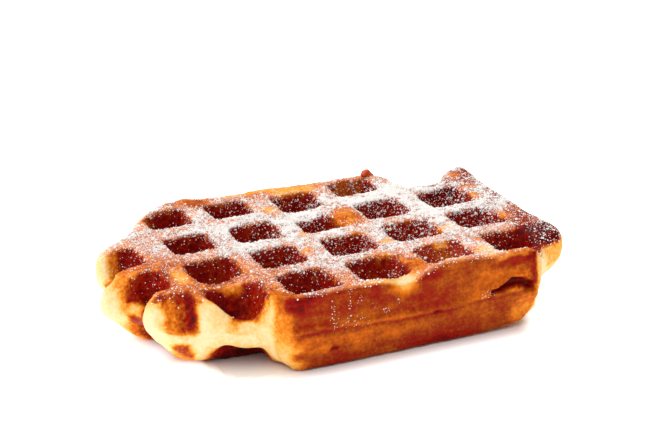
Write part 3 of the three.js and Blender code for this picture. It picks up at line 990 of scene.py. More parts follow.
# %% Tones: round-cornered blocks that fade to a browning of their own
TONE_CORNER, TONE_RAGGED, TONE_GRAIN = 4, 0.12, 2.6
# the fold's painted shade: the browning painted into it, and the distances over which it fades in
FOLD_SHADE_BROWN, FOLD_SHADE_EDGE = 0.93, (-0.3, 0.5)
TONES = (
    # squares along, squares away, height, half-widths mm along, away and up, browning there, softness
    (0.85, 0.74, 20.2, 3.0, 4.0, 6.4, 0.87, 0.42),
    (0.68, 0.80, 20.0, 2.2, 4.0, 5.5, 0.45, 0.5),
    (0.78, 0.77, 20.6, 1.5, 4.0, 6.0, 0.66, 0.8),
    (0.58, 0.95, 25.8, 1.3, 1.2, 1.3, 0.74, 0.3),
    (0.66, 0.91, 26.1, 1.6, 1.2, 1.2, 0.70, 0.3),
    (0.50, 0.98, 25.0, 1.0, 1.2, 1.2, 0.66, 0.3),
    (1.02, 0.70, 25.0, 1.0, 1.2, 1.2, 0.42, 0.3),
    (0.26, 1.87, 23.6, 2.0, 2.2, 2.4, 0.42, 0.6),
    (0.76, 0.74, 6.6, 2.8, 3.4, 3.0, 0.66, 0.6),
    (0.86, 0.76, 3.6, 1.8, 3.0, 2.6, 0.6, 0.7),
    (0.43, 1.5, 11.0, 3.0, 5.0, 3.6, 0.75, 0.3),
    (0.4, 1.56, 20.3, 2.8, 4.6, 4.8, 0.8, 0.42),
    (1.26, 0.78, 21.5, 3.0, 3.2, 4.5, 0.84, 0.2),
    (1.24, 0.53, 21.5, 4.0, 1.7, 6.0, 0.16, 0.3),
    (1.56, 0.9, 24.6, 3.4, 2.2, 2.4, 0.38, 0.4),
    (1.83, 0.6, 22.0, 2.4, 4.5, 5.0, 0.78, 0.25),
    (1.70, 0.55, 17.6, 3.6, 3.4, 2.6, 0.80, 0.25),
    (0.87, 1.6, 24.3, 1.8, 5.5, 2.6, 0.76, 0.3),
    (1.0, 1.4, 26.5, 2.4, 5.5, 3.0, 0.27, 0.7),
    # partly the underside's own dark caramel and partly painted shade: the underside seen through the open
    # front left corner is darkened nearly to black, as the shadow under it
    (1.55, 1.0, 3.5, 9.5, 8.0, 8.0, 0.97, 0.5),
    (3.5, 3.86, 26.0, 5.5, 1.8, 1.8, 0.34, 0.4),
    (3.72, 0.84, 26.4, 4.4, 1.3, 1.0, 0.36, 0.4),
    (3.1, 4.15, 26.0, 14.0, 4.8, 3.0, 0.31, 0.3),
    (1.9, 0.07, 8.0, 3.0, 2.8, 11.0, 0.12, 0.6),
    (1.92, 0.05, 17.0, 3.3, 2.6, 8.0, 0.4, 0.9),
    (2.02, 0.0, 5.0, 3.6, 1.8, 4.5, 0.22, 0.9),
    (5.73, 0.02, 11.5, 1.4, 2.2, 5.0, 0.3, 0.4),
    (0.32, 2.8, 21.0, 2.8, 4.0, 5.0, 0.1, 0.5),
    (0.46, 2.79, 22.0, 1.8, 4.0, 4.4, 0.42, 0.6),
    (0.4, 1.6, 15.8, 3.0, 3.5, 1.5, 0.22, 0.7),
    (1.57, 0.37, 15.0, 3.5, 2.4, 2.2, 0.13, 0.4),
    # partly the pale lobe's own colour and partly painted shade: the front right lobe, facing away from the
    # light, is set browner than its cream
    (6.16, 0.43, 20.0, 9.0, 2.6, 3.6, 0.28, 0.2),
    (6.08, 0.64, 26.5, 6.5, 8.5, 3.0, 0.91, 0.3),
    (3.88, 2.46, 26.0, 4.4, 9.0, 3.5, 0.46, 0.3),
    (3.62, 3.85, 26.0, 9.0, 3.9, 3.5, 0.3, 0.3),
    (4.62, 0.86, 25.0, 2.6, 1.6, 2.6, 0.36, 0.5),
    (4.45, 3.8, 21.0, 6.5, 3.5, 5.0, 0.6, 0.4),
    (5.3, 0.0, 26.7, 6.5, 2.0, 0.9, 0.4, 0.4),
    (5.75, 0.02, 19.5, 2.2, 2.4, 7.0, 0.22, 0.25),
    (2.05, 0.01, 23.9, 2.0, 1.5, 2.2, 0.86, 0.9),
    (2.26, 0.0, 25.3, 2.0, 1.2, 0.9, 0.84, 0.4),
    (4.1, 0.0, 25.5, 3.0, 1.5, 1.4, 0.78, 0.4),
    (5.33, 0.0, 25.0, 3.0, 1.6, 1.6, 0.76, 0.4),
    (5.6, -0.03, 20.0, 1.0, 1.6, 4.2, 0.78, 0.4),
    (3.23, -0.02, 23.6, 2.2, 1.5, 2.4, 0.77, 0.4),
    (2.63, -0.02, 6.3, 1.5, 1.5, 0.7, 0.95, 0.3),
    (2.13, -0.02, 5.4, 2.2, 1.5, 1.2, 0.69, 0.9),
    (2.35, -0.02, 4.0, 1.6, 1.5, 1.0, 0.7, 0.9),
    (4.16, -0.02, 12.0, 1.5, 1.5, 0.6, 0.86, 0.3),
)
for column, row, height, along, away, up, level, soft in TONES:
    offset = (points - (column * PITCH, row * PITCH, height)) / (along, away, up)
    far = (offset**TONE_CORNER).sum(1) ** (1 / TONE_CORNER)
    far = far * (1 + TONE_RAGGED * noise(points, TONE_GRAIN, seed=39))
    brown = brown + (level - brown) * fall(far, 1 - soft, 1 + soft)
# painted shade: the inside of the fold near the right end is darkened almost to black-brown, as the shadow in
# the crease
brown = brown + (FOLD_SHADE_BROWN - brown) * fold_here * fall(from_fold, *FOLD_SHADE_EDGE)
brown = np.clip(brown, 0, 1)
print(len(TONES), "tones leave it at", brown.mean().round(3))

# %% [markdown]
# ## Where the icing sugar fell
#
# Icing sugar is sieved from above, mostly over the right-hand half and the back.
# It stays on what faces up, thins on walls, and lies less in the glossy pockets.
# The density found here steers both the fine film in the crust's own colour and
# the separate grains. Where it is thin on a warm ridge, the finest of it melts to
# a faint veil, and under the thickest of it the ridges get painted shade among the grains.

# %% How thickly it fell, from 0 to 1
THIN, HEAVY, HEAVY_WIDTH, HEAVY_ALONG = 0.12, 0.76, 0.8, (-0.4, 2.9)
HEAVY_LINE = np.array([
    # squares along, squares away
    (-0.5, 3.1), (0.8, 3.05), (3.0, 2.95), (5.0, 2.85), (6.5, 2.7),
])
RIDGE_SUGAR = (
    # squares away, half-width, where it starts and is full along, density added
    (2.0, 0.42, 1.0, 2.3, 0.5),
    (1.0, 0.36, 1.7, 2.8, 0.45),
    (0.1, 0.25, 1.9, 2.6, 0.2),
)
HEAPS = (
    # squares along and away, width in squares, density added
    (3.45, 2.80, 0.30, 0.50), (1.02, 2.62, 0.30, 0.20), (0.75, 3.15, 0.35, 0.30),
    (5.10, 2.60, 0.35, 0.25), (4.97, 3.13, 0.40, 0.30), (1.45, 3.97, 0.16, 0.50),
    (5.10, 0.12, 0.28, 0.30), (2.15, 0.32, 0.25, 0.10), (4.00, 1.50, 0.20, 0.40),
    (5.00, 1.52, 0.18, 0.60), (5.00, 0.55, 0.20, 0.35), (3.00, 1.50, 0.20, 0.12),
    (6.00, 3.10, 0.32, -0.45), (6.02, 1.00, 0.30, -0.40), (5.50, 3.00, 0.22, -0.25),
    (3.00, 3.00, 0.22, -0.30), (1.00, 3.00, 0.25, -0.25), (1.95, 0.12, 0.22, -0.30),
    (4.00, 0.30, 0.28, -0.25), (4.50, 2.00, 0.15, -0.30), (5.50, 2.00, 0.20, -0.25),
    (2.50, 2.02, 0.15, -0.20), (2.10, 3.90, 0.22, -0.35), (5.50, 1.02, 0.15, -0.15),
    (6.25, 2.30, 0.32, -0.25), (6.25, 1.60, 0.28, -0.20),
)
EVEN, CLOUDY, CLOUDY_GRAIN, SPOTTY, SPOTTY_GRAIN = 0.8, 0.5, 13.0, 0.6, 3.6
STEEP_KEEPS, FACING_UP = 0.02, (0.1, 0.75)
u, v, z = points[:, 0] / PITCH, points[:, 1] / PITCH, points[:, 2]
from_heavy = v - np.interp(u, *HEAVY_LINE.T)
density = THIN + HEAVY * ease(u, *HEAVY_ALONG) * bump(from_heavy, HEAVY_WIDTH)
for row, width, start, full, amount in RIDGE_SUGAR:
    density += amount * ease(u, start, full) * bump(v - row, width)
for column, row, width, amount in HEAPS:
    density += amount * bump(np.hypot(u - column, v - row), width)
density = np.maximum(density, 0)
clouds, spots = rough(points, CLOUDY_GRAIN, seed=41), noise(points, SPOTTY_GRAIN, seed=42)
density *= EVEN + CLOUDY * clouds + SPOTTY * spots
density *= STEEP_KEEPS + (1 - STEEP_KEEPS) * ease(normals[:, 2], *FACING_UP)
specks = density.copy()
print("density before the pockets: mean", density.mean().round(3))

# %% The melted veil on the ridges
VEIL, VEIL_UP, VEIL_RIDGES = 0.14, (0.1, 0.8), (0.0, 0.05)
VEIL_DENSITIES, VEIL_BROWNS = (0.0, 0.3), (0.54, 0.68)
veil = VEIL * is_upper * ease(normals[:, 2], *VEIL_UP) * fall(share, *VEIL_RIDGES)
veil *= ease(density, *VEIL_DENSITIES) * fall(brown, *VEIL_BROWNS)
print("the veil covers", round(float((veil > 0).mean()) * 100), "% of the points")

# %% Less of it in the pockets, and single grains on their walls
POCKET_CLEARS, POCKET_FROM, POCKET_RAGGED, POCKET_RAGGED_GRAIN = 0.98, (0.03, 0.10), 0.03, 1.6
LEFT_WALL = {"keeps": 0.55, "facing": (0.25, 0.7), "shares": (0.2, 0.7), "columns": (0.9, 1.4)}
SUNK_FROM = (0.03, 0.12)
SPECKLED, SPECKLED_MORE, SPECKLED_ALONG = 0.05, 0.22, (1.6, 3.6)
SPECKLED_FRONT, SPECKLED_AWAY = 0.5, (0.8, 1.6)
SPECKLED_EVEN, SPECKLED_CLOUDY, SPECKLED_GRAIN = 0.6, 0.8, 5.0
left_wall = ease(normals[:, 0], *LEFT_WALL["facing"]) * fall(share, *LEFT_WALL["shares"])
left_wall *= ease(u, *LEFT_WALL["columns"])
cleared = ease(share + POCKET_RAGGED * noise(points, POCKET_RAGGED_GRAIN, seed=43), *POCKET_FROM)
density *= 1 - (POCKET_CLEARS - LEFT_WALL["keeps"] * left_wall) * cleared
speckled = SPECKLED + SPECKLED_MORE * ease(u, *SPECKLED_ALONG)
speckled *= SPECKLED_FRONT + (1 - SPECKLED_FRONT) * ease(v, *SPECKLED_AWAY)
speckled *= SPECKLED_EVEN + SPECKLED_CLOUDY * rough(points, SPECKLED_GRAIN, seed=44)
sunk = ease(share, *SUNK_FROM)
specks = specks * (1 - sunk) + speckled * sunk
print("density of the film:", density.mean().round(3), "and of the grains:", specks.mean().round(3))

# %% Bare places
BARE = 0.93
BARE_SPOTS = (
    # squares along and away, width in squares
    (4.86, 1.33, 0.08), (4.00, 1.28, 0.09), (3.93, 0.30, 0.15), (3.92, 0.70, 0.10), (5.00, 0.30, 0.12),
    (2.00, 0.05, 0.10), (3.88, 2.20, 0.18), (3.88, 2.40, 0.26), (3.88, 2.55, 0.26), (3.94, 2.74, 0.14),
    (3.80, 2.40, 0.16), (5.96, 2.74, 0.15), (5.90, 2.40, 0.15), (5.90, 1.42, 0.14), (6.00, 3.24, 0.07),
    (3.07, 2.10, 0.09), (2.87, 1.50, 0.09), (3.00, 3.22, 0.13), (4.60, 1.90, 0.07), (3.75, 0.84, 0.12),
    (3.55, 0.84, 0.10), (3.30, 3.90, 0.18), (3.50, 3.86, 0.20), (3.70, 3.84, 0.20), (3.88, 3.80, 0.17),
    (4.40, 0.55, 0.18), (3.60, 0.00, 0.25), (5.83, 0.80, 0.16), (1.00, 1.42, 0.15), (3.00, 4.05, 0.20),
    (1.50, 0.84, 0.20), (1.60, 0.50, 0.22), (0.87, 0.70, 0.25), (0.60, 1.40, 0.22), (5.30, 0.00, 0.12),
    (5.50, 0.00, 0.14), (5.68, 0.05, 0.13), (5.00, -0.02, 0.10), (4.80, -0.04, 0.10),
)
LOWEST = (10.0, 16.0)
BACK_RIM = {"bare": 0.55, "away": (3.9, 4.05), "along": 3.1, "width": 0.9}
LOBES = {"bare": 0.8, "along": (0.3, 0.9), "away": (2.1, 2.5)}
SIDE = {"away": (0.1, 0.2), "heights": (24.4, 25.2)}
FRONT_RIM = {"bare": 0.6, "away": (-0.01, 0.07), "bare_of_specks": 0.7, "specks_away": (0.02, 0.1)}
lying = is_upper * ease(z, *LOWEST)
for column, row, width in BARE_SPOTS:
    lying *= 1 - BARE * bump(np.hypot(u - column, v - row), width)
lying *= 1 - BACK_RIM["bare"] * ease(v, *BACK_RIM["away"]) * bump(u - BACK_RIM["along"], BACK_RIM["width"])
lying *= 1 - LOBES["bare"] * fall(u, *LOBES["along"]) * fall(v, *LOBES["away"])
on_side = side_baked * fall(v, *SIDE["away"])
lying *= 1 - on_side * fall(z, *SIDE["heights"])
lying *= 1 - FRONT_RIM["bare"] * fall(v, *FRONT_RIM["away"])
specks *= 1 - FRONT_RIM["bare_of_specks"] * fall(v, *FRONT_RIM["specks_away"])
print("sugar can lie on", round(float((lying > 0).mean()) * 100), "% of the points")

# %% What trickled down the front side and stuck
SIDE_SUGAR = (
    # squares along, height, half-widths mm along and up, amount
    (2.61, 19.0, 0.5, 4.5, 0.6),
    (2.86, 20.5, 0.6, 3.5, 0.7),
    (2.98, 15.0, 2.6, 1.8, 0.26),
    (2.75, 16.0, 2.0, 2.2, 0.2),
    (3.0, 22.0, 0.8, 1.2, 0.3),
    (3.36, 16.7, 0.9, 0.9, 0.8),
    (3.56, 19.3, 0.8, 0.6, 0.8),
    (3.2, 19.5, 0.4, 2.0, 0.25),
    (4.9, 15.1, 1.3, 0.8, 0.6),
    (4.8, 14.6, 1.6, 0.6, 0.2),
)
stuck = np.zeros(len(points))
for column, height, along, up, amount in SIDE_SUGAR:
    far = np.hypot((points[:, 0] - column * PITCH) / along, (z - height) / up)
    stuck += amount * on_side * bump(far, 1.0)
print("where it stuck most, its density is", stuck.max().round(2))

# %% The final densities, and painted shade on the ridges under thick sugar
CHARRED = {"along": 6.1, "away": 0.62, "width": 0.34, "film_bare": 0.9, "specks_bare": 0.3}
PAINTED_SHADE_UNDER_SUGAR, UNDER_DENSITIES, UNDER_PALE, UNDER_DARK = 0.36, (0.3, 0.9), (0.36, 0.44), (0.6, 0.75)
charred = bump(np.hypot(u - CHARRED["along"], v - CHARRED["away"]), CHARRED["width"])
veil *= lying
density = np.clip(density * lying * (1 - CHARRED["film_bare"] * charred), 0, 1)
specks = np.clip(specks * lying * (1 - CHARRED["specks_bare"] * charred), 0, 1)
dusted = np.clip(specks + stuck, 0, 1)
# painted shade: mid-brown ridges under thick sugar are darkened, so that the crust between the grains reads
# as the shade among them
painted_shade_under_sugar = ease(density, *UNDER_DENSITIES) * ease(brown, *UNDER_PALE) * fall(brown, *UNDER_DARK)
brown = brown + PAINTED_SHADE_UNDER_SUGAR * painted_shade_under_sugar
print("mean sugar density", density.mean().round(3))

# %% [markdown]
# ## Crust material
#
# The real surface is caramelised yeast dough: cooked, buttery and sealed with
# melted sugar where it is dark, and matt and bready where it is pale. So colour,
# gloss and roughness all follow the browning. Two noises break it into the
# mottling of bubbles and crumbs, more faintly on the sides and where it is pale,
# and long streaks mark the sides. Colours run from cream through amber and burnt
# orange to mahogany.

# %% Mottling, specks and streaks
PER_MM = 1000.0
MOTTLE_MM, SPECK_MM = 3.0, 1.1
MOTTLE_DEPTH, SPECK_DEPTH, STREAK_DEPTH = 0.36, 0.56, 0.18
SIDE_CALM, PALE_CALM, PALE_UP_TO = 0.5, 0.4, 0.55
crust_material, tree = new_material("caramelised_yeast_dough")
place_node = add_node(tree, "ShaderNodeTexCoord").outputs["Object"]
drag_node = add_node(tree, "ShaderNodeAttribute", attribute_name="drag").outputs["Vector"]
attribute = {
    name: add_node(tree, "ShaderNodeAttribute", attribute_name=name).outputs["Fac"]
    for name in ("brown", "sugar", "veil", "side")
}
pattern, swing = {}, {}
for name, read_at, scale, detail, depth in (
    ("mottle", place_node, PER_MM / MOTTLE_MM, 3.0, MOTTLE_DEPTH),
    ("speck", place_node, PER_MM / SPECK_MM, 2.0, SPECK_DEPTH),
    ("streak", drag_node, 1.0, 3.0, STREAK_DEPTH),
):
    noise_node = add_node(tree, "ShaderNodeTexNoise", {"Vector": read_at, "Scale": scale, "Detail": detail})
    pattern[name] = noise_node.outputs["Fac"]
    swing[name] = add_node(
        tree, "ShaderNodeMath", {0: pattern[name], 1: depth, 2: -depth / 2}, operation="MULTIPLY_ADD"
    ).outputs[0]
on_side = add_node(tree, "ShaderNodeMath", {0: swing["streak"], 1: attribute["side"]}, operation="MULTIPLY")
quiet = add_node(tree, "ShaderNodeMapRange", {"Value": attribute["side"], "To Min": 1.0, "To Max": SIDE_CALM})
loud = add_node(
    tree, "ShaderNodeMapRange", {"Value": attribute["brown"], "From Max": PALE_UP_TO, "To Min": PALE_CALM}
)
varied = add_node(tree, "ShaderNodeMath", {0: swing["mottle"], 1: swing["speck"]}, operation="ADD")
for step, other in (("MULTIPLY", quiet), ("ADD", on_side), ("MULTIPLY", loud)):
    varied = add_node(tree, "ShaderNodeMath", {0: varied.outputs[0], 1: other.outputs[0]}, operation=step)
browned = add_node(
    tree, "ShaderNodeMath", {0: attribute["brown"], 1: varied.outputs[0]}, operation="ADD", use_clamp=True
)
print("the browning is varied by", ", ".join(pattern))

# %% The colours of baking
BAKE_COLOURS = (
    (0.00, "#F4DDAE"),
    (0.14, "#F0CA88"),
    (0.28, "#F0AC48"),
    (0.40, "#E3801F"),
    (0.52, "#C85E0E"),
    (0.62, "#A2470C"),
    (0.70, "#942A06"),
    (0.78, "#920F04"),
    (0.88, "#6E0502"),
    (1.00, "#300603"),
)
bake = add_node(tree, "ShaderNodeValToRGB", {"Fac": browned.outputs[0]})
stops = bake.color_ramp.elements
stops[0].position, stops[-1].position = BAKE_COLOURS[0][0], BAKE_COLOURS[-1][0]
for position, _ in BAKE_COLOURS[1:-1]:
    stops.new(position)
for stop, (_, colour) in zip(stops, BAKE_COLOURS):
    stop.color = linear(colour)
print("the ramp has", len(stops), "colours")

# %% The film of finest sugar
# it lies wherever a noise is higher than the density there asks for
FILM_COLOUR = "#FCF8F4"
FILM_MM = 1.0
FILM_EDGE, FILM_MOST = 0.04, 0.97
FILM_BARE, FILM_FULL = 0.73, 0.385
MIX_FACTOR, MIX_A, MIX_B, MIX_RESULT = 0, 6, 7, 2
film_noise = add_node(
    tree, "ShaderNodeTexNoise",
    {"Vector": place_node, "Scale": PER_MM / FILM_MM, "Detail": 4.0, "Roughness": 0.75},
)
needed = add_node(
    tree, "ShaderNodeMapRange", {"Value": attribute["sugar"], "To Min": FILM_BARE, "To Max": FILM_FULL}
)
over_needed = add_node(
    tree, "ShaderNodeMath", {0: film_noise.outputs["Fac"], 1: needed.outputs[0]}, operation="SUBTRACT"
)
film = add_node(
    tree, "ShaderNodeMapRange",
    {
        "Value": over_needed.outputs[0],
        "From Max": FILM_EDGE,
        "To Min": attribute["veil"],
        "To Max": FILM_MOST,
    },
)
coloured = add_node(
    tree, "ShaderNodeMix",
    {MIX_FACTOR: film.outputs[0], MIX_A: bake.outputs["Color"], MIX_B: linear(FILM_COLOUR)},
    data_type="RGBA",
)

# %% Roughness, and a glaze of caramel in beads on the dark crust
PALE_ROUGHNESS, DARK_ROUGHNESS, SUGAR_ROUGHNESS = 0.62, 0.30, 0.9
ROUGH_FROM, SMOOTH_FROM = 0.3, 0.85
GLAZE_MOST, GLAZE_ROUGHNESS = 0.2, 0.12
GLAZE_FROM, GLAZED_FROM = 0.62, 0.88
BEAD_FROM, BEAD_FULL = 0.56, 0.68
baked_rough = add_node(
    tree, "ShaderNodeMapRange",
    {
        "Value": browned.outputs[0],
        "From Min": ROUGH_FROM,
        "From Max": SMOOTH_FROM,
        "To Min": PALE_ROUGHNESS,
        "To Max": DARK_ROUGHNESS,
    },
)
roughness = add_node(
    tree, "ShaderNodeMapRange",
    {"Value": film.outputs[0], "To Min": baked_rough.outputs[0], "To Max": SUGAR_ROUGHNESS},
)
glaze = add_node(
    tree, "ShaderNodeMapRange",
    {"Value": browned.outputs[0], "From Min": GLAZE_FROM, "From Max": GLAZED_FROM, "To Max": GLAZE_MOST},
)
bare = add_node(tree, "ShaderNodeMath", {0: 1.0, 1: film.outputs[0]}, operation="SUBTRACT")
beads = add_node(
    tree, "ShaderNodeMapRange", {"Value": pattern["speck"], "From Min": BEAD_FROM, "From Max": BEAD_FULL}
)
for other in (bare, beads):
    glaze = add_node(tree, "ShaderNodeMath", {0: glaze.outputs[0], 1: other.outputs[0]}, operation="MULTIPLY")

# %% Bumps too small to be geometry, and the shader itself
CRUMB_MM = 0.5
CRUMB_BUMP_MM, SPECK_BUMP_MM, STREAK_BUMP_MM = 0.12, 0.28, 0.35
CRUST_IOR, CRUST_SPECULAR = 1.45, 0.06
CRUMB_GLOW, CRUMB_GLOW_MM = 0.08, 1.5
crumb = add_node(
    tree, "ShaderNodeTexNoise", {"Vector": place_node, "Scale": PER_MM / CRUMB_MM, "Detail": 2.0}
)
bumps = add_node(
    tree, "ShaderNodeBump", {"Height": on_side.outputs[0], "Distance": STREAK_BUMP_MM * MM / STREAK_DEPTH}
)
for height, distance in ((crumb.outputs["Fac"], CRUMB_BUMP_MM), (pattern["speck"], SPECK_BUMP_MM)):
    bumps = add_node(
        tree, "ShaderNodeBump", {"Height": height, "Distance": distance * MM, "Normal": bumps.outputs[0]}
    )
shader = add_node(
    tree, "ShaderNodeBsdfPrincipled",
    {
        "Base Color": coloured.outputs[MIX_RESULT],
        "Roughness": roughness.outputs[0],
        "IOR": CRUST_IOR,
        "Specular IOR Level": CRUST_SPECULAR,
        "Coat Weight": glaze.outputs[0],
        "Coat Roughness": GLAZE_ROUGHNESS,
        "Subsurface Weight": CRUMB_GLOW,
        "Subsurface Radius": (1.0, 0.45, 0.18),
        "Subsurface Scale": CRUMB_GLOW_MM * MM,
        "Normal": bumps.outputs[0],
    },
)
add_node(tree, "ShaderNodeOutputMaterial", {"Surface": shader.outputs[0]})
print("the crust's material has", len(tree.nodes), "nodes")

# %% The crust as a piece
crust = add_piece("baked_crust", points, faces, crust_material)
add_attribute(crust, "brown", brown)
add_attribute(crust, "sugar", density)
add_attribute(crust, "veil", veil)
add_attribute(crust, "side", wall * pressed_here)
add_attribute(crust, "drag", drag_place / DRAG_GRAIN)
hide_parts("waffle")

# %% [markdown]
# ## Icing sugar
#
# Icing sugar is crystals milled to dust, which clings in grains and small
# clumps. Each kind is one piece: fine dust, grains, and clumps like tiny heaps.
# A bit is an eight- or twenty-faced stone, turned at random, so that thousands
# stay light. They are dropped on the crust with a chance that follows the
# density found above. The dust also lies where sugar trickled down the front.

# %% Two stones
GOLDEN = (1 + 5**0.5) / 2
OCTAHEDRON = np.array([(1, 0, 0), (-1, 0, 0), (0, 1, 0), (0, -1, 0), (0, 0, 1), (0, 0, -1)], float)
OCTAHEDRON_FACES = np.array([
    (0, 2, 4), (2, 1, 4), (1, 3, 4), (3, 0, 4), (2, 0, 5), (1, 2, 5), (3, 1, 5), (0, 3, 5),
])
ICOSAHEDRON = np.array([
    (-1, GOLDEN, 0), (1, GOLDEN, 0), (-1, -GOLDEN, 0), (1, -GOLDEN, 0),
    (0, -1, GOLDEN), (0, 1, GOLDEN), (0, -1, -GOLDEN), (0, 1, -GOLDEN),
    (GOLDEN, 0, -1), (GOLDEN, 0, 1), (-GOLDEN, 0, -1), (-GOLDEN, 0, 1),
]) / np.hypot(1, GOLDEN)
ICOSAHEDRON_FACES = np.array([
    (0, 11, 5), (0, 5, 1), (0, 1, 7), (0, 7, 10), (0, 10, 11), (1, 5, 9), (5, 11, 4),
    (11, 10, 2), (10, 7, 6), (7, 1, 8), (3, 9, 4), (3, 4, 2), (3, 2, 6), (3, 6, 8),
    (3, 8, 9), (4, 9, 5), (2, 4, 11), (6, 2, 10), (8, 6, 7), (9, 8, 1),
])

# %% Where stones land
sugar_draw = np.random.default_rng(SEED + 2)
corners = points[faces]
diagonal = corners[:, 2] - corners[:, 0]
face_area = sum(np.linalg.norm(np.cross(corners[:, k] - corners[:, 0], diagonal), axis=1) / 2 for k in (1, 3))
print("sugared area, mm2:", (face_area * specks[faces].mean(1)).sum().round())


def landing(count, sugared, power):
    """Random places on the crust and their normals, likelier where sugared ** power is high."""
    chance = face_area * sugared[faces].mean(1) ** power
    face = sugar_draw.choice(len(faces), count, p=chance / chance.sum())
    s, t = sugar_draw.random((2, count, 1))
    a, b, c, d = (points[faces[face, k]] for k in range(4))
    spot = (a * (1 - s) + b * s) * (1 - t) + (d * (1 - s) + c * s) * t
    return spot, normals[faces[face, 0]]


SIZE_LIMIT = 2


def add_stones(name, shape, shape_faces, sugared, count, radius, spread, flatness, sink, power, unevenness):
    """Stones scattered as one piece: each is the shape, uneven, turned, flattened and sunk a little."""
    spot, up = landing(count, sugared, power)
    size_draw = np.clip(sugar_draw.normal(size=(count, 1, 1)), -SIZE_LIMIT, SIZE_LIMIT)
    size = radius * np.exp(spread * size_draw)
    turn = np.linalg.qr(sugar_draw.normal(size=(count, 3, 3)))[0]
    turn *= np.sign(np.linalg.det(turn))[:, None, None]
    stone = shape[None] * (1 + unevenness * sugar_draw.uniform(-1, 1, (count, len(shape), 1)))
    stone = size * (stone @ turn)
    height = (stone * up[:, None]).sum(-1, keepdims=True)
    stone = stone - (1 - flatness) * height * up[:, None]
    stone = stone + (spot + (flatness - sink) * size[:, 0] * up)[:, None]
    stone_faces = np.arange(count)[:, None, None] * len(shape) + shape_faces[None]
    piece = add_piece(name, stone.reshape(-1, 3), stone_faces.reshape(-1, 3), sugar_material, smooth=False)
    add_attribute(piece, "tone", np.repeat(sugar_draw.random(count), len(shape)))


# %% Icing sugar's material: matt white, each stone a little lighter or darker
SUGAR_WHITE, SUGAR_SHADE = "#FDFBF8", "#EFE6DF"
SUGAR_GRAIN_MM, SUGAR_BUMP_MM = 0.4, 0.05
SUGAR_IOR, SUGAR_ROUGH, SUGAR_SMOOTH = 1.54, 0.95, 0.7
sugar_material, tree = new_material("milled_icing_sugar")
tone = add_node(tree, "ShaderNodeAttribute", attribute_name="tone")
place_node = add_node(tree, "ShaderNodeTexCoord").outputs["Object"]
clot = add_node(
    tree, "ShaderNodeTexNoise", {"Vector": place_node, "Scale": PER_MM / SUGAR_GRAIN_MM, "Detail": 2.0}
)
both = add_node(
    tree, "ShaderNodeMath", {0: tone.outputs["Fac"], 1: clot.outputs["Fac"]}, operation="MULTIPLY"
)
whites = add_node(
    tree, "ShaderNodeMix",
    {MIX_FACTOR: both.outputs[0], MIX_A: linear(SUGAR_WHITE), MIX_B: linear(SUGAR_SHADE)},
    data_type="RGBA",
)
powder_bump = add_node(
    tree, "ShaderNodeBump", {"Height": clot.outputs["Fac"], "Distance": SUGAR_BUMP_MM * MM}
)
powder_rough = add_node(
    tree, "ShaderNodeMapRange", {"Value": clot.outputs["Fac"], "To Min": SUGAR_ROUGH, "To Max": SUGAR_SMOOTH}
)
shader = add_node(
    tree, "ShaderNodeBsdfPrincipled",
    {
        "Base Color": whites.outputs[MIX_RESULT],
        "Roughness": powder_rough.outputs[0],
        "IOR": SUGAR_IOR,
        "Normal": powder_bump.outputs[0],
    },
)
add_node(tree, "ShaderNodeOutputMaterial", {"Surface": shader.outputs[0]})

# %% Dust, grains and clumps
add_stones(
    "sugar_dust", OCTAHEDRON, OCTAHEDRON_FACES, dusted, count=24000,
    radius=0.14, spread=0.3, flatness=0.8, sink=0.3, power=1.0, unevenness=0.25,
)
add_stones(
    "sugar_grains", OCTAHEDRON, OCTAHEDRON_FACES, specks, count=22000,
    radius=0.2, spread=0.3, flatness=0.75, sink=0.3, power=1.15, unevenness=0.25,
)
add_stones(
    "sugar_clumps", ICOSAHEDRON, ICOSAHEDRON_FACES, specks, count=7000,
    radius=0.31, spread=0.35, flatness=0.55, sink=0.25, power=1.6, unevenness=0.35,
)

# %% [markdown]
# ## A bead of caramel
#
# At the back edge one lump of pearl sugar melted out and set as a red-brown
# bead. It is a squashed ball: a sphere's two angles on a grid, pushed by noise.
# Set caramel is glassy and lets light in, so it glows a little from inside.

# %% Caramel's material
CARAMEL_DARK, CARAMEL_LIGHT = "#9A1404", "#F06A28"
CARAMEL_SWIRL_MM, CARAMEL_BUMP_MM = 1.4, 0.08
caramel_material, tree = new_material("set_caramel_bead")
place_node = add_node(tree, "ShaderNodeTexCoord").outputs["Object"]
swirl = add_node(
    tree, "ShaderNodeTexNoise", {"Vector": place_node, "Scale": PER_MM / CARAMEL_SWIRL_MM, "Detail": 3.0}
)
swirled = add_node(
    tree, "ShaderNodeMix",
    {MIX_FACTOR: swirl.outputs["Fac"], MIX_A: linear(CARAMEL_DARK), MIX_B: linear(CARAMEL_LIGHT)},
    data_type="RGBA",
)
ripple = add_node(tree, "ShaderNodeBump", {"Height": swirl.outputs["Fac"], "Distance": CARAMEL_BUMP_MM * MM})
shader = add_node(
    tree, "ShaderNodeBsdfPrincipled",
    {
        "Base Color": swirled.outputs[MIX_RESULT],
        "Roughness": 0.28,
        "IOR": 1.5,
        "Specular IOR Level": 0.25,
        "Subsurface Weight": 0.2,
        "Subsurface Radius": (1.0, 0.3, 0.1),
        "Subsurface Scale": 1.0 * MM,
        "Normal": ripple.outputs[0],
    },
)
add_node(tree, "ShaderNodeOutputMaterial", {"Surface": shader.outputs[0]})

# %% The bead's surface
BEAD_PLACE, BEAD_RADII = np.array([4.83, 3.86]), np.array([2.3, 2.0, 2.4])
BEAD_ROUND, BEAD_TALL = 32, 16
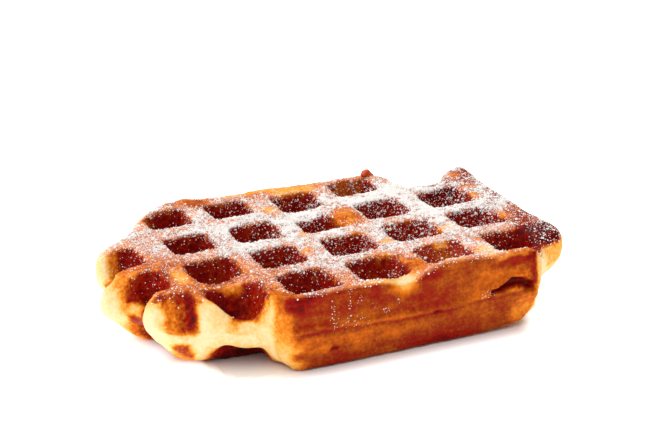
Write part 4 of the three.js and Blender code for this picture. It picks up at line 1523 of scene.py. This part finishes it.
# the noise is read on a ball of radius 1, so its grains are shares of the bead's own size
LUMPS, LUMP_GRAIN, PIMPLES, PIMPLE_GRAIN = 0.42, 1.0, 0.2, 0.45
BEAD_FOOT, BEAD_SINK = 1.0, 0.3
polar = np.linspace(0, np.pi, BEAD_TALL + 1)[1:-1]
round_angle = np.arange(BEAD_ROUND) * 2 * np.pi / BEAD_ROUND
tilt, turn = np.meshgrid(polar, round_angle, indexing="ij")
ball = np.stack([np.sin(tilt) * np.cos(turn), np.sin(tilt) * np.sin(turn), np.cos(tilt)], -1)
ball = np.vstack([ball.reshape(-1, 3), (0, 0, 1), (0, 0, -1)])
swollen = 1 + LUMPS * noise(ball, LUMP_GRAIN, seed=53) + PIMPLES * noise(ball, PIMPLE_GRAIN, seed=52)
ball *= swollen[:, None]
near_bead = np.linalg.norm(points[:, :2] - BEAD_PLACE * PITCH, axis=1) < BEAD_FOOT
bead_centre = np.append(BEAD_PLACE * PITCH, points[near_bead, 2].max() - BEAD_SINK)
print("the bead's middle is", bead_centre[2].round(1), "mm up")

# %% The bead's faces, with a fan at each pole
row, column = np.meshgrid(np.arange(len(polar) - 1), np.arange(BEAD_ROUND), indexing="ij")
row, column = row.ravel(), column.ravel()
after = (column + 1) % BEAD_ROUND
a, b = row * BEAD_ROUND + column, (row + 1) * BEAD_ROUND + column
c, d = (row + 1) * BEAD_ROUND + after, row * BEAD_ROUND + after
ring = np.arange(BEAD_ROUND)
next_ring = (ring + 1) % BEAD_ROUND
north, south = len(ball) - 2, len(ball) - 1
last = (len(polar) - 1) * BEAD_ROUND
bead_faces = np.vstack([
    np.column_stack([a, b, c]),
    np.column_stack([a, c, d]),
    np.column_stack([np.full(BEAD_ROUND, north), ring, next_ring]),
    np.column_stack([np.full(BEAD_ROUND, south), last + next_ring, last + ring]),
])
bead = add_piece("caramel_bead", ball * BEAD_RADII + bead_centre, bead_faces, caramel_material)

# %% [markdown]
# ## Floor, light and camera
#
# A plain white card lies under soft light: a wide panel of sky overhead, and a
# window at the back left. Away from the waffle the card glows, so that it stays
# as white as the sky round it. Near the waffle the glow fades and lets the soft
# shadow show. The glow is one number for each point of the card, so the card's
# mesh is fine near its middle. The camera has a long lens, a little above the
# front left corner.

# %% The card's material
CARD_COLOUR = "#F6F5F4"
TOOTH_MM, TOOTH_BUMP_MM = 2.0, 0.05
card_material, tree = new_material("white_card")
place_node = add_node(tree, "ShaderNodeTexCoord").outputs["Object"]
tooth = add_node(tree, "ShaderNodeTexNoise", {"Vector": place_node, "Scale": PER_MM / TOOTH_MM})
tooth_bump = add_node(
    tree, "ShaderNodeBump", {"Height": tooth.outputs["Fac"], "Distance": TOOTH_BUMP_MM * MM}
)
glow = add_node(tree, "ShaderNodeAttribute", attribute_name="glow")
shader = add_node(
    tree, "ShaderNodeBsdfPrincipled",
    {
        "Base Color": linear(CARD_COLOUR),
        "Roughness": 0.8,
        "Specular IOR Level": 0.1,
        "Normal": tooth_bump.outputs[0],
        "Emission Color": linear(CARD_COLOUR),
        "Emission Strength": glow.outputs["Fac"],
    },
)
add_node(tree, "ShaderNodeOutputMaterial", {"Surface": shader.outputs[0]})

# %% The floor
# in metres: half the card's width, its height, and half the width of its fine part
FLOOR_HALF, FLOOR_Z = 3.0, -0.0002
FLOOR_NEAR, FLOOR_CUTS = 0.15, 121
floor_lines = np.concatenate([[-FLOOR_HALF], np.linspace(-FLOOR_NEAR, FLOOR_NEAR, FLOOR_CUTS), [FLOOR_HALF]])
floor_grid = np.stack(np.meshgrid(floor_lines, floor_lines, [FLOOR_Z], indexing="ij"), -1).reshape(-1, 3)
i, j = np.meshgrid(np.arange(FLOOR_CUTS + 1), np.arange(FLOOR_CUTS + 1), indexing="ij")
across = FLOOR_CUTS + 2
first = (i * across + j).ravel()
floor_faces = np.column_stack([first, first + across, first + across + 1, first + 1])
floor_mesh = bpy.data.meshes.new("floor")
floor_mesh.from_pydata(floor_grid.tolist(), [], floor_faces.tolist())
floor_mesh.materials.append(card_material)
floor = bpy.data.objects.new("floor", floor_mesh)
bpy.context.scene.collection.objects.link(floor)

# %% The floor's glow: full some way outside the waffle's edge, and none under it
# it reaches nearer at the two ends, and less near under the open front left corner
GLOW, GLOW_START, GLOW_FULL = 0.9, -1.0, 11.0
END_GLOW, LEFT_END, RIGHT_END = 14.0, (0.95, 1.3), (5.3, 5.8)
ARCH_PLACE, ARCH_WIDTH, ARCH_SHADE = (1.52, 0.42), 0.32, 9.0
floor_place = floor_grid[:, :2] / MM - PATTERN_CORNER[:2]
_, floor_inside = nearest(floor_place)
floor_squares = floor_place / PITCH
in_arch = ARCH_SHADE * bump(np.linalg.norm(floor_squares - ARCH_PLACE, axis=1), ARCH_WIDTH)
past_ends = END_GLOW * (fall(floor_squares[:, 0], *LEFT_END) + ease(floor_squares[:, 0], *RIGHT_END))
floor_glow = GLOW * ease(past_ends - floor_inside - in_arch, GLOW_START, GLOW_FULL)
add_attribute(floor, "glow", floor_glow)
print("the card's mean glow is", floor_glow.mean().round(2))

# %% The lights
SKY_COLOUR, SKY_STRENGTH = "#FFFDFC", 0.38
world = bpy.data.worlds.new("studio")
world.use_nodes = True
world.node_tree.nodes["Background"].inputs["Color"].default_value = linear(SKY_COLOUR)
world.node_tree.nodes["Background"].inputs["Strength"].default_value = SKY_STRENGTH
bpy.context.scene.world = world


def add_light(name, place, spread, strength, colour="#FFFFFF"):
    """A far soft light from that side, as wide in the sky as spread, in degrees."""
    data = bpy.data.lights.new(name, "SUN")
    data.angle, data.energy, data.color = np.radians(spread), strength, linear(colour)[:3]
    light = bpy.data.objects.new(name, data)
    light.location = place
    light.rotation_euler = (-Vector(place)).to_track_quat("-Z", "Y").to_euler()
    bpy.context.scene.collection.objects.link(light)
    print(name, "is", spread, "degrees wide, at strength", strength)


add_light("sky_panel", (-0.35, 0.1, 1.0), spread=105.0, strength=2.3)
add_light("window", (-0.55, 0.75, 0.85), spread=45.0, strength=0.85, colour="#FFF8F0")

# %% The camera
LENS_MM, SENSOR_MM = 110.80364, 36.0
AZIMUTH, ELEVATION, ROLL = np.radians((-22.15379, 21.03261, -2.04242))
DISTANCE = 29.065054 * PITCH
TARGET = np.array([3.60617 * PITCH, 2.38846 * PITCH, THICKNESS])
back = np.array([
    np.sin(AZIMUTH) * np.cos(ELEVATION),
    -np.cos(AZIMUTH) * np.cos(ELEVATION),
    np.sin(ELEVATION),
])
level_right = np.array([np.cos(AZIMUTH), np.sin(AZIMUTH), 0.0])
level_up = np.cross(back, level_right)
right = np.cos(ROLL) * level_right + np.sin(ROLL) * level_up
up = np.cos(ROLL) * level_up - np.sin(ROLL) * level_right
camera_data = bpy.data.cameras.new("camera")
camera_data.sensor_width = SENSOR_MM
camera_data.lens = LENS_MM
camera = bpy.data.objects.new("camera", camera_data)
stand = (TARGET + back * DISTANCE + PATTERN_CORNER) * MM
pose = np.eye(4)
pose[:3] = np.column_stack([right, up, back, stand])
camera.matrix_world = Matrix(pose.tolist())
bpy.context.scene.collection.objects.link(camera)
bpy.context.scene.camera = camera
bpy.context.scene.view_settings.view_transform = "Standard"
print("the camera stands", round(DISTANCE * MM, 3), "m from the middle of the top face")
